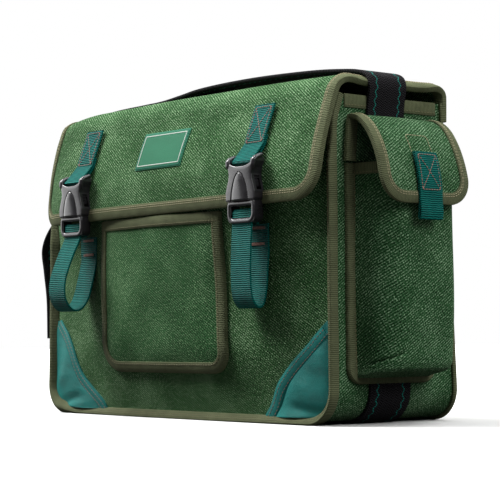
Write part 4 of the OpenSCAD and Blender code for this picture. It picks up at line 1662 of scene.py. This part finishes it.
class MainFlap(Part):
    """The front flap, its bound edge and the blank label patch."""

    def build(self) -> None:
        """Makes the flap's cloth, its bound edge and the label."""
        f = FLAP
        half = f.half_width
        a, b = panel_grid(0.0, FLAP_SKIN.length, f.corner, half, 96, 130)
        cloth = self.bend(FLAP_SKIN.sheet(a, b, 0, -f.cloth), "main_flap_cloth", self.finish.canvas, "main_flap",
                          *HINGE, replaces=["main_flap"], slot="canvas")
        self.cut(cloth, a, b, "draped", ["back_panel_cloth"])
        line = soft_u(-half, half, 0.0, FLAP_SKIN.length, f.corner, f.corner)
        self.bend(FLAP_SKIN.tape(line, fold_section(f.tape, 1.35, f.cloth + 1.2, 0.9)), "main_flap_tape",
                  self.finish.tape, "main_flap", *HINGE, replaces=["flap_binding"], slot="tape")
        rows = seam_rows(FLAP_SKIN, half, FLAP_SKIN.length - 1, f.corner, [(7.9, 1.45), (6.2, 1.45)], Stitch.EDGE)
        self.bend(rows, "main_flap_stitches", self.finish.thread_pale, "main_flap", *HINGE)
        sewn = evenly(np.array([[-half + 12, FLAP_SKIN.length - 5], [half - 12, FLAP_SKIN.length - 5]]), 3.4)
        self.bend(FLAP_SKIN.stitches(sewn, 0.1), "main_flap_sewn_line", self.finish.thread_olive, "main_flap", *HINGE)
        self.label()

    def label(self) -> None:
        """The label patch: plain cloth with a white frame line, sewn on."""
        left, right = -40.5, 24.5
        low, high = FLAP_SKIN.up(215.5), FLAP_SKIN.up(248.5)
        a, b = np.meshgrid(np.linspace(left, right, 30), np.linspace(low, high, 18))
        corner = 2.2
        inner = np.minimum(np.minimum(a - left, right - a), np.minimum(b - low, high - b))
        top = np.interp(inner, [0, 0.6, corner], [0.7, 1.3, 1.5])
        cloth = self.put(FLAP_SKIN.sheet(a, b, top, 0.1), "label_patch_cloth", self.finish.label, "main_flap",
                         ["label_patch"], "label")
        self.cut(cloth, a, b, "laid", ["main_flap_cloth"])
        line = Shape()
        frame = rectangle(left, right, low, high, 3.4)
        for p, q in zip(frame[:-1], frame[1:]):
            FLAP_SKIN.tape(evenly(np.array([p, q]), 4.0), flat_section(0.9, 1.3, 1.72, 0.2, 2), shape=line)
        self.put(line, "label_frame_line", self.finish.thread_white, "main_flap")
        rim = rectangle(left, right, low, high, 1.3)
        self.put(FLAP_SKIN.stitches(evenly(rim, 0.5), 1.3, Stitch.LABEL), "label_stitches",
                 self.finish.thread_teal, "main_flap")


class Closure(Part):
    """One closure: the strap on the flap, the buckle, and the slack webbing below it."""

    def __init__(self, finish: Finishes, nodes: dict[str, bpy.types.Object], side: Side) -> None:
        """Notes which of the two closures this is.

        Args:
            finish: The materials.
            nodes: The CAD nodes by name.
            side: The closure's side.
        """
        super().__init__(finish, nodes)
        self.side = side
        self.name = side.name.lower()
        self.x = CLOSURE.x * side.value

    def build(self) -> None:
        """Makes the webbing, and dresses the buckle."""
        self.upper()
        self.lower()
        for node in (f"socket_{self.name}", f"plug_{self.name}", f"prong_{self.name}_outer",
                     f"prong_{self.name}_inner"):
            self.keep(node, self.finish.plastic, 0.55)
        self.socket_face()
        self.horns()
        self.plug_rim()

    def socket_face(self) -> None:
        """The socket's crowned face, set on the CAD socket.

        Over s from -1 to 1 across and t from 0 to 1 up, x = s w(z) and z = mouth + t top(s), where the
        upper edge is top(s) = 28 + 4 |s|^3. It stands off by crown (1 - s^2)^0.5, by a round bullet
        deep (1 - (x / b(z))^2)^0.5 that narrows upwards, and a groove on each side of the bullet.
        """
        c = CLOSURE
        s, t = np.meshgrid(np.linspace(-1, 1, 97), np.linspace(0, 1, 78))
        up = t * (28.0 + 4.0 * np.abs(s) ** 3)
        half = np.interp(up, [0, 2, 7, 12, 17.5, 21.7, 26.6, 31.5, 34, 36],
                         [17.2, 18.1, 18.1, 16.6, 14.6, 14.0, 15.2, 18.0, 18.1, 17.4])
        x = s * half * (1 - 0.10 * np.clip((t - 0.9) / 0.1, 0, 1) ** 2)
        bullet = np.interp(up, [0, 7, 13, 17, 20, 22, 23], [9.6, 8.7, 7.0, 5.4, 3.6, 1.8, 0.01])
        raised = np.clip(1 - (x / bullet) ** 2, 0, 1) ** 0.5 * np.clip((23 - up) / 6, 0, 1) ** 0.5
        groove = np.exp(-((np.abs(x) - bullet - 0.9) / 0.6) ** 2) * np.clip((24 - up) / 2, 0, 1)
        rim = np.clip(1 - s**2, 0, 1) ** 0.5
        end = np.clip((1 - t) / 0.10, 0, 1) ** 0.5 * np.clip(t / 0.03, 0.4, 1)
        high = 0.35 + (1.2 * rim + 1.9 * raised - 0.85 * groove * rim) * end
        base = c.buckle_y - c.socket_thick / 2
        top = np.stack([x + self.x, base - high, c.mouth_z + up], axis=-1)
        under = np.stack([x + self.x, np.full(x.shape, base + 0.1), c.mouth_z + up], axis=-1)
        shape = Shape().slab(top, under, np.stack([x, up], axis=-1))
        self.put(shape, f"socket_{self.name}_face", self.finish.plastic, "main_flap", sharp=60)

    def horns(self) -> None:
        """The socket's two horns: round bars that rise from its face and sweep back over its posts."""
        c = CLOSURE
        line = np.array([[14.6, 1.8, 25.0], [15.4, 0.2, 28.6], [16.0, 0.4, 32.0], [16.3, 2.6, 34.3],
                         [16.5, 5.8, 35.7], [16.6, 8.6, 36.6], [16.6, 9.8, 36.9]])
        knots = np.linspace(0, 1, len(line))
        s = np.linspace(0, 1, 31)
        path = np.stack([np.interp(s, knots, line[:, i]) for i in range(3)], axis=1)
        size = np.interp(s, [0, 0.15, 0.7, 0.86, 0.95, 1], [0.5, 1, 1, 0.9, 0.66, 0.25])
        across = np.array([1.0, 0.0, 0.0])
        out = np.cross(unit(np.gradient(path, axis=0)), across)
        turn = np.linspace(0, 2 * np.pi, 17)[:-1]
        rings = (path[:, None] + (2.5 * size)[:, None, None] * np.cos(turn)[None, :, None] * across
                 + (1.9 * size)[:, None, None] * np.sin(turn)[None, :, None] * out[:, None])
        uv = ring_uv(path, turn[None, :])
        move = np.array([self.x, c.buckle_y - c.socket_thick / 2, c.mouth_z])
        shape = Shape()
        for side in (1, -1):
            shape.loft(rings * [side, 1, 1] + move, uv)
        self.put(shape, f"socket_{self.name}_horns", self.finish.plastic, "main_flap", sharp=60)

    def plug_rim(self) -> None:
        """The plug frame's rounded rim: a half-round section carried round a rounded rectangle."""
        c = CLOSURE
        half, r = c.plug_half - 1.7, 6.2
        low, high = c.mouth_z - 16.2, c.mouth_z - 1.9
        path = np.vstack([arc((half - r, low + r), r, 270, 360), arc((half - 2, high - 2), 2, 0, 90),
                          arc((2 - half, high - 2), 2, 90, 180), arc((r - half, low + r), r, 180, 270)])
        path = evenly(np.vstack([path, path[:1]]), 1.2)
        t = np.roll(path, -1, axis=0) - np.roll(path, 1, axis=0)
        t[0] = t[-1] = path[1] - path[-2]
        t = unit(t)
        turn = np.linspace(0, 2 * np.pi, 15)[:-1]
        out = np.stack([t[:, 1], -t[:, 0]], axis=1)
        flat = path[:, None] + out[:, None] * (1.75 * np.cos(turn))[None, :, None]
        y = c.buckle_y - c.plug_thick / 2 - 0.1 - 1.0 * np.sin(turn)
        rings = np.stack([flat[..., 0] + self.x, np.broadcast_to(y, flat.shape[:2]), flat[..., 1]], axis=-1)
        uv = ring_uv(path, turn[None, :])
        self.put(Shape().loft(rings, uv), f"plug_{self.name}_rim", self.finish.plastic, f"plug_{self.name}")

    def spread(self, yz: Array) -> Array:
        """Points in the closure's upright plane."""
        return np.stack([np.full(len(yz), self.x), yz[:, 0], yz[:, 1]], axis=1)

    def upper(self) -> None:
        """Doubled webbing sewn to the flap and looped round the socket's bar."""
        c = CLOSURE
        b_free, b_top = FLAP_SKIN.up(c.free_z), FLAP_SKIN.up(c.sewn_top_z)
        bar = np.array([c.buckle_y, c.socket_bar_z])
        inner = FLAP_SKIN.at(np.full(4, self.x), np.linspace(b_free + 8, b_free, 4), 1.0)[:, 1:]
        loop = arc(bar, c.bar_r + c.bar_gap + c.thick / 2, 25, -195, 26)
        outer = FLAP_SKIN.at(np.full(12, self.x), np.linspace(b_free, b_top, 12), 2.75)[:, 1:]
        line = np.vstack([inner, loop, outer])
        path = evenly(dense(line, 0.8), 1.2)
        strap = self.put(free_strap(self.spread(path), (1, 0, 0), c.width, c.thick),
                         f"flap_strap_{self.name}_webbing", self.finish.webbing, "main_flap",
                         [f"flap_strap_{self.name}"], "webbing")
        self.web(strap, path, c.width, "folded", ["main_flap_cloth"])
        shape = crossed_box(FLAP_SKIN, self.x, b_free + 1.5, b_top - 2.5, 3.75)
        self.put(shape, f"flap_strap_{self.name}_stitches", self.finish.thread_rust, "main_flap")

    def lower(self) -> None:
        """Slack webbing from the plug's bar down and back up to its bartacked anchor."""
        c = CLOSURE
        anchor_y = float(FRONT.at(self.x, c.anchor_z, 1.0)[1])
        if self.side is Side.LEFT:
            slack = [[-96.2, 158], [-104, 142], [-111.5, 122], [-111.8, 106], [-104.5, 95.5], [-95, 95.5],
                     [-87, 105], [-81.5, 122], [anchor_y, 139]]
        else:
            slack = [[-95.6, 158], [-96.8, 140], [-97.2, 118], [-95.5, 102], [-90, 94.2], [-84, 95.8],
                     [-80.6, 108], [-79.2, 124], [anchor_y, 139]]
        bar = (c.buckle_y, c.plug_bar_z)
        over_bar = arc(bar, c.bar_r + c.bar_gap + c.thick / 2, -60, 200, 20)
        tail = [[c.buckle_y + 3.4, 160.5]]
        anchor = FRONT.at(np.full(4, self.x), np.linspace(c.anchor_z + 2, c.anchor_top_z, 4), 1.0)[:, 1:]
        line = np.vstack([tail, over_bar, [[-95.3, 163.5]], slack, anchor])
        path = evenly(dense(line, 0.8), 1.3)
        loop = self.bend(free_strap(self.spread(path), (1, 0, 0), c.width, c.thick), f"closure_loop_{self.name}",
                         self.finish.webbing, f"plug_{self.name}", (0, -80.5, 0), (0, -91, 0),
                         [f"loop_{self.name}", f"anchor_{self.name}"], "webbing")
        self.web(loop, path, c.width, "hung", ["front_panel_cloth", f"plug_{self.name}"])
        shape = Shape()
        for z in (c.anchor_top_z - 3.0, c.anchor_z + 3.0):
            for dz in (-0.7, 0.0, 0.7):
                bar_line = np.array([[self.x - 9.5, z + dz], [self.x + 9.5, z + dz]])
                FRONT.stitches(evenly(bar_line, 0.5), 2.1, Stitch.TACK, shape)
        self.put(shape, f"bartacks_{self.name}", self.finish.thread_rust, "bag")


class SidePocket(Part):
    """The bellows pocket on the right wall, with its bound flange and hook pad."""

    def build(self) -> None:
        """Makes the pocket's cloth, its hem, its flange and the hook pad."""
        s = SIDE_POCKET
        skin = SIDE_SKIN
        b = np.concatenate([np.linspace(skin.foot, 56, 44)[:-1], np.linspace(56, s.top_z, 60)])
        a = np.broadcast_to(np.linspace(-skin.half, skin.half, 96)[None, :], (len(b), 96)).copy()
        b = np.broadcast_to(b[:, None], a.shape).copy()
        cloth = self.put(skin.sheet(a, b, 0, -s.cloth), "side_pocket_cloth", self.finish.canvas_side, "bag",
                         ["side_pocket"], "canvas")
        self.cut(cloth, a, b, "folded", ["gusset_cloth"])
        rim = evenly(np.array([[skin.half, s.top_z], [-skin.half, s.top_z]]), 2.5)
        self.put(skin.tape(rim, fold_section(9.0, 1.2, s.cloth + 1.1)), "side_pocket_hem", self.finish.tape, "bag")
        self.put(skin.stitches(rim + [0, -7.4], 1.3), "side_pocket_hem_stitches", self.finish.thread_olive, "bag")
        half = s.width / 2 + s.flange - 0.5
        foot, top = GUSSET.z_side(s.foot_z - s.flange, True), GUSSET.z_side(s.top_z, True)
        r = 13.0
        edge = evenly(np.vstack([[[s.y - half, top]], arc((s.y - half + r, foot + r), r, 180, 270),
                                 arc((s.y + half - r, foot + r), r, 270, 360), [[s.y + half, top]]]), 2.0)
        section = np.array([[9.6, 0.1], [9.5, 3.4], [8.7, 4.1], [4.8, 4.3], [0.9, 4.1], [0, 3.2], [-0.3, 2.0],
                            [0, 0.1]])
        self.put(GUSSET.tape(edge, section), "side_pocket_tape", self.finish.tape, "bag",
                 ["side_pocket_binding"], "tape")
        inset = 7.4
        seam = evenly(np.vstack([[[s.y - half + inset, top - 1]], [[s.y - half + inset, foot + inset]],
                                 [[s.y + half - inset, foot + inset]], [[s.y + half - inset, top - 1]]]), 0.8)
        self.put(GUSSET.stitches(seam, 4.2), "side_pocket_stitches", self.finish.thread_olive, "bag")
        a, b = np.meshgrid(np.linspace(-10, 10, 12), np.linspace(177, 197, 12))
        pad = self.put(skin.sheet(a, b, 1.3, 0.0), "hook_pad_cloth", self.finish.pad, "bag", ["hook_pad"], "fastener")
        self.cut(pad, a, b, "laid", ["side_pocket_cloth"])


# The same for the side pocket's flap
SIDE_HINGE = ((201.0, 0.0, 241.0), (206.0, 0.0, 243.0))


class SideFlap(Part):
    """The side pocket's flap with its sewn wing, bound edge, loop pad and pull tab."""

    def build(self) -> None:
        """Makes the flap's cloth, its bound edge, the loop pad and the tab."""
        f = SIDE_FLAP
        skin = SIDE_FLAP_SKIN
        half = f.width / 2 - 0.6
        a, b = panel_grid(0.0, skin.length, f.corner, half, 50, 90, 12)
        a = a + f.y
        cloth = self.bend(skin.sheet(a, b, 0, -f.cloth), "side_flap_cloth", self.finish.canvas_side, "side_flap",
                          *SIDE_HINGE, replaces=["pocket_flap", "pocket_flap_seam"], slot="canvas")
        self.cut(cloth, a, b, "draped", ["gusset_cloth"])
        line = soft_u(f.y - half, f.y + half, 0.0, skin.length, f.corner, f.corner)
        self.bend(skin.tape(line, fold_section(f.tape, 1.3, f.cloth + 1.1, 0.8)), "side_flap_tape",
                  self.finish.tape, "side_flap", *SIDE_HINGE, replaces=["pocket_flap_binding"], slot="tape")
        rows = seam_rows(skin, half, skin.length - 1, f.corner, [(7.4, 1.4), (5.8, 1.4)], Stitch.EDGE, f.y)
        self.bend(rows, "side_flap_stitches", self.finish.thread_pale, "side_flap", *SIDE_HINGE)
        self.pad()
        self.tab()

    def pad(self) -> None:
        """The loop pad inside the flap."""
        f = SIDE_FLAP
        skin = SIDE_FLAP_SKIN
        a, b = np.meshgrid(np.linspace(f.y - 10, f.y + 10, 12), np.linspace(skin.up(177), skin.up(197), 12))
        pad = self.put(skin.sheet(a, b, -f.cloth, -f.cloth - 1.2), "loop_pad_cloth", self.finish.pad, "side_flap",
                       ["loop_pad"], "fastener")
        self.cut(pad, a, b, "laid", ["side_flap_cloth"])

    def tab(self) -> None:
        """The doubled pull tab: sewn above, with a folded free end below the hem."""
        f, c = SIDE_FLAP, CLOSURE
        skin = SIDE_FLAP_SKIN
        b_top, b_low = skin.up(213.0), skin.up(175.5)
        sewn = np.linspace(b_top, b_low, 10)
        outer = skin.at(np.full(10, f.y), sewn, 3.1)[:, [0, 2]]
        inner = skin.at(np.full(10, f.y), sewn[::-1], 1.9)[:, [0, 2]]
        x = float(outer[-1, 0])
        turn = arc((x - 0.9, 162.4), 1.1, 0, -180, 10)
        line = np.vstack([outer, [[x + 0.5, 168.0]], turn, [[x - 1.6, 168.0]], inner])
        xz = dense(line, 1.2)
        path = upright(xz, f.y)
        tab = self.put(free_strap(path, (0, 1, 0), c.width, 1.5), "pull_tab_webbing", self.finish.webbing,
                       "side_flap", ["pull_tab"], "webbing")
        self.web(tab, path, c.width, "folded", ["side_flap_cloth"])
        shape = crossed_box(skin, f.y, skin.up(184.0), skin.up(211.0), 4.0)
        self.put(shape, "pull_tab_stitches", self.finish.thread_rust, "side_flap")
        wide = 11.6
        low, high = skin.up(213.5), skin.up(228.0)
        box = np.array([[wide, low], [wide, high], [-wide, high], [-wide, low]]) + [f.y, 0]
        self.put(skin.stitches(evenly(box, 0.5), 0.25, Stitch.TAB), "side_flap_stitch_box",
                 self.finish.thread_pale, "side_flap")


class CarryStrap(Part):
    """The black strap: sewn under the base and up the sides, free over the flap, and its hanging end."""

    def build(self) -> None:
        """Makes the sewn part, the free part and the hanging end."""
        s = STRAP
        low, high = GUSSET.z_side(s.join_z, False), GUSSET.z_side(s.join_z, True)
        path = evenly(np.array([[s.y, low], [s.y, high]]), 4.0)
        sewn = self.put(GUSSET.tape(path, flat_section(s.width, 0.05, s.thick)), "strap_sewn_webbing",
                        self.finish.strap, "bag", ["strap_base", "strap_side_left", "strap_side_right"],
                        "strap_webbing")
        self.web(sewn, path, s.width, "laid", ["gusset_cloth"])
        xz = dense([[-197.2, 214], [-197.4, 240], [-198.9, 256], [-201.5, 264], [-203.2, 269.0], [-201.6, 274.4],
                    [-195, 277.8], [-180, 279.3], [-140, 281.9], [-100, 282.8], [-72, 283.6], [-45, 286.2],
                    [-18, 289.0],
                    [25, 290.3], [75, 290.0], [135, 287.6], [172, 284.4], [190, 281.6], [198.4, 277.2],
                    [200.8, 270.4], [200.0, 262], [198.4, 253], [197.4, 240], [197.2, 214]], 2.5)
        path = upright(xz, s.y)
        drawn = np.interp(lengths(path), [0, 60, 90, 440, 480, 510, 560], [1, 1, 0.97, 0.97, 0.90, 0.91, 1])
        path[:, 1] -= 2.0 * (1 - drawn) / 0.1
        free = self.bend(free_strap(path, (0, 1, 0), s.width, s.thick, drawn), "carry_strap_webbing",
                         self.finish.strap, "carry_strap", (0, 0, 217), (0, 0, 280), ["carry_strap"],
                         "strap_webbing")
        self.web(free, path, s.width, "draped", ["main_flap_cloth"])
        self.keep("strap_slider", self.finish.plastic, 0.6)
        self.tail()

    def tail(self) -> None:
        """The strap's free end, looped over the slider's bar and hanging outwards."""
        s = STRAP
        eye = CLOSURE.bar_r + CLOSURE.bar_gap + s.thick / 2
        start = np.array([s.slider_x - eye, s.slider_z])
        shares = np.array([[0.0, 0.03], [0.05, 0.08], [0.36, 0.2], [0.8, 0.32], [1, 0.44], [0.95, 0.58], [0.87, 0.76],
                           [0.85, 1]])
        hang = start - shares * [s.tail_out, s.tail_drop]
        loop = arc((s.slider_x, s.slider_z), eye, -75, 180, 22)
        xz = dense(np.vstack([loop, hang]), 1.6)
        path = upright(xz, s.y)
        tail = self.put(free_strap(path, (0, 1, 0), s.width, s.thick), "strap_tail_webbing", self.finish.strap,
                        "strap_tail", ["strap_tail"], "strap_webbing")
        self.web(tail, path, s.width, "hung", ["strap_slider"])


# ---- Stage ----


@dataclass(frozen=True)
class Viewpoint:
    """The photo's camera, solved from the photo, in millimetres and degrees."""

    place: tuple[float, float, float] = (1227.1, -1005.3, 73.6)
    yaw: float = 50.32
    pitch: float = 2.64
    roll: float = -0.37
    lens: float = 128.7

    def make(self) -> bpy.types.Object:
        """Makes the camera."""
        yaw, pitch, roll = (math.radians(v) for v in (self.yaw, self.pitch, self.roll))
        forward = np.array([-math.sin(yaw) * math.cos(pitch), math.cos(yaw) * math.cos(pitch), math.sin(pitch)])
        right = np.array([math.cos(yaw), math.sin(yaw), 0.0])
        up = np.cross(right, forward)
        right_r = math.cos(roll) * right + math.sin(roll) * up
        up_r = -math.sin(roll) * right + math.cos(roll) * up
        data = bpy.data.cameras.new("photo_camera")
        data.lens = self.lens
        data.sensor_width = 36.0
        data.clip_start = 0.05
        data.clip_end = 50.0
        camera = bpy.data.objects.new("photo_camera", data)
        turn = np.column_stack([right_r, up_r, -forward])
        camera.matrix_world = Matrix.LocRotScale(
            [v * MM for v in self.place], Matrix(turn.tolist()).to_quaternion(), None)
        bpy.context.scene.collection.objects.link(camera)
        bpy.context.scene.camera = camera
        return camera


class Stage:
    """Pale floor, pale surroundings and soft lights."""

    def build(self) -> None:
        """Makes the floor, the world and the lights."""
        g = Graph("floor")
        place = g.add("TexCoord").outputs["Object"]
        grain = g.add("TexNoise", None, {"Vector": place, "Scale": 3.0, "Detail": 2.0}).outputs["Fac"]
        pale = g.ramp(grain, [(0.3, "#F2F2F1"), (0.7, "#F7F7F6")])
        # The floor throws less light back than it shows, as if flags stood round the bag
        seen = g.add("LightPath").outputs["Is Camera Ray"]
        colour = g.add("Mix", {"data_type": "RGBA"}, {0: seen, 6: linear("#3C3C3B"), 7: pale})
        material = g.surface(colour.outputs[2], 0.9)
        shape = Shape()
        reach = np.array([-6000.0, 6000.0])
        x, y = np.meshgrid(reach, reach)
        top = np.stack([x, y, 0 * x], axis=-1)
        shape.slab(top, top - [0, 0, 20], np.stack([x, y], axis=-1))
        shape.build("floor", material)
        bpy.context.scene.view_settings.view_transform = "Standard"
        self.surroundings()
        self.light("key", (-0.70, -0.40, 1.0), 4.9, 28)
        self.light("top", (0.05, 0.15, 1.0), 1.9, 45)
        self.light("right_fill", (0.9, 0.10, 0.70), 1.35, 40)
        self.light("rear", (0.1, 1.0, 0.45), 0.6, 50)
        # A strip light low on the left, seen only as a gleam on the buckles
        self.light("gleam", (-0.95, -0.32, 0.20), 2.0, 60).visible_diffuse = False

    @staticmethod
    def surroundings() -> None:
        """The world: white to the camera, bright in reflections, and dim as a light."""
        world = bpy.data.worlds.new("surroundings")
        world.use_nodes = True
        tree = world.node_tree
        path = tree.nodes.new("ShaderNodeLightPath")
        light = tree.nodes["Background"]
        light.inputs["Color"].default_value = linear("#FAFBFC")
        light.inputs["Strength"].default_value = 0.08
        for ray, strength in (("Is Glossy Ray", 0.30), ("Is Camera Ray", 1.0)):
            other = tree.nodes.new("ShaderNodeBackground")
            other.inputs["Color"].default_value = linear("#FFFFFF")
            other.inputs["Strength"].default_value = strength
            choice = tree.nodes.new("ShaderNodeMixShader")
            tree.links.new(path.outputs[ray], choice.inputs[0])
            tree.links.new(light.outputs[0], choice.inputs[1])
            tree.links.new(other.outputs[0], choice.inputs[2])
            light = choice
        tree.links.new(light.outputs[0], tree.nodes["World Output"].inputs["Surface"])
        bpy.context.scene.world = world

    @staticmethod
    def light(name: str, towards: tuple[float, float, float], power: float, spread: float) -> bpy.types.Object:
        """One large, soft and far light.

        Args:
            name: Its name.
            towards: Direction from the bag to the light.
            power: Its strength.
            spread: Angle in degrees that it fills, which softens the shadows.

        Returns:
            The light.
        """
        data = bpy.data.lights.new(name, "SUN")
        data.energy = power
        data.angle = math.radians(spread)
        obj = bpy.data.objects.new(name, data)
        away = np.array(towards) / np.linalg.norm(towards)
        side = np.cross([0, 0, 1.0], away)
        side /= np.linalg.norm(side)
        turn = np.column_stack([side, np.cross(away, side), away])
        obj.matrix_world = Matrix.LocRotScale(away * 2.0, Matrix(turn.tolist()).to_quaternion(), None)
        bpy.context.scene.collection.objects.link(obj)
        return obj


def main() -> None:
    """Builds the scene."""
    logging.basicConfig(level=logging.INFO)
    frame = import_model()
    finish = Finishes()
    nodes = frame["nodes"]
    parts: list[Part] = [kind(finish, nodes) for kind in
                         (Walls, Seams, FrontPocket, MainFlap, SidePocket, SideFlap, CarryStrap)]
    parts += [Closure(finish, nodes, side) for side in Side]
    for part in parts:
        part.build()
        log.info("built %s", type(part).__name__)
    Stage().build()
    Viewpoint().make()


if __name__ == "__main__":
    main()
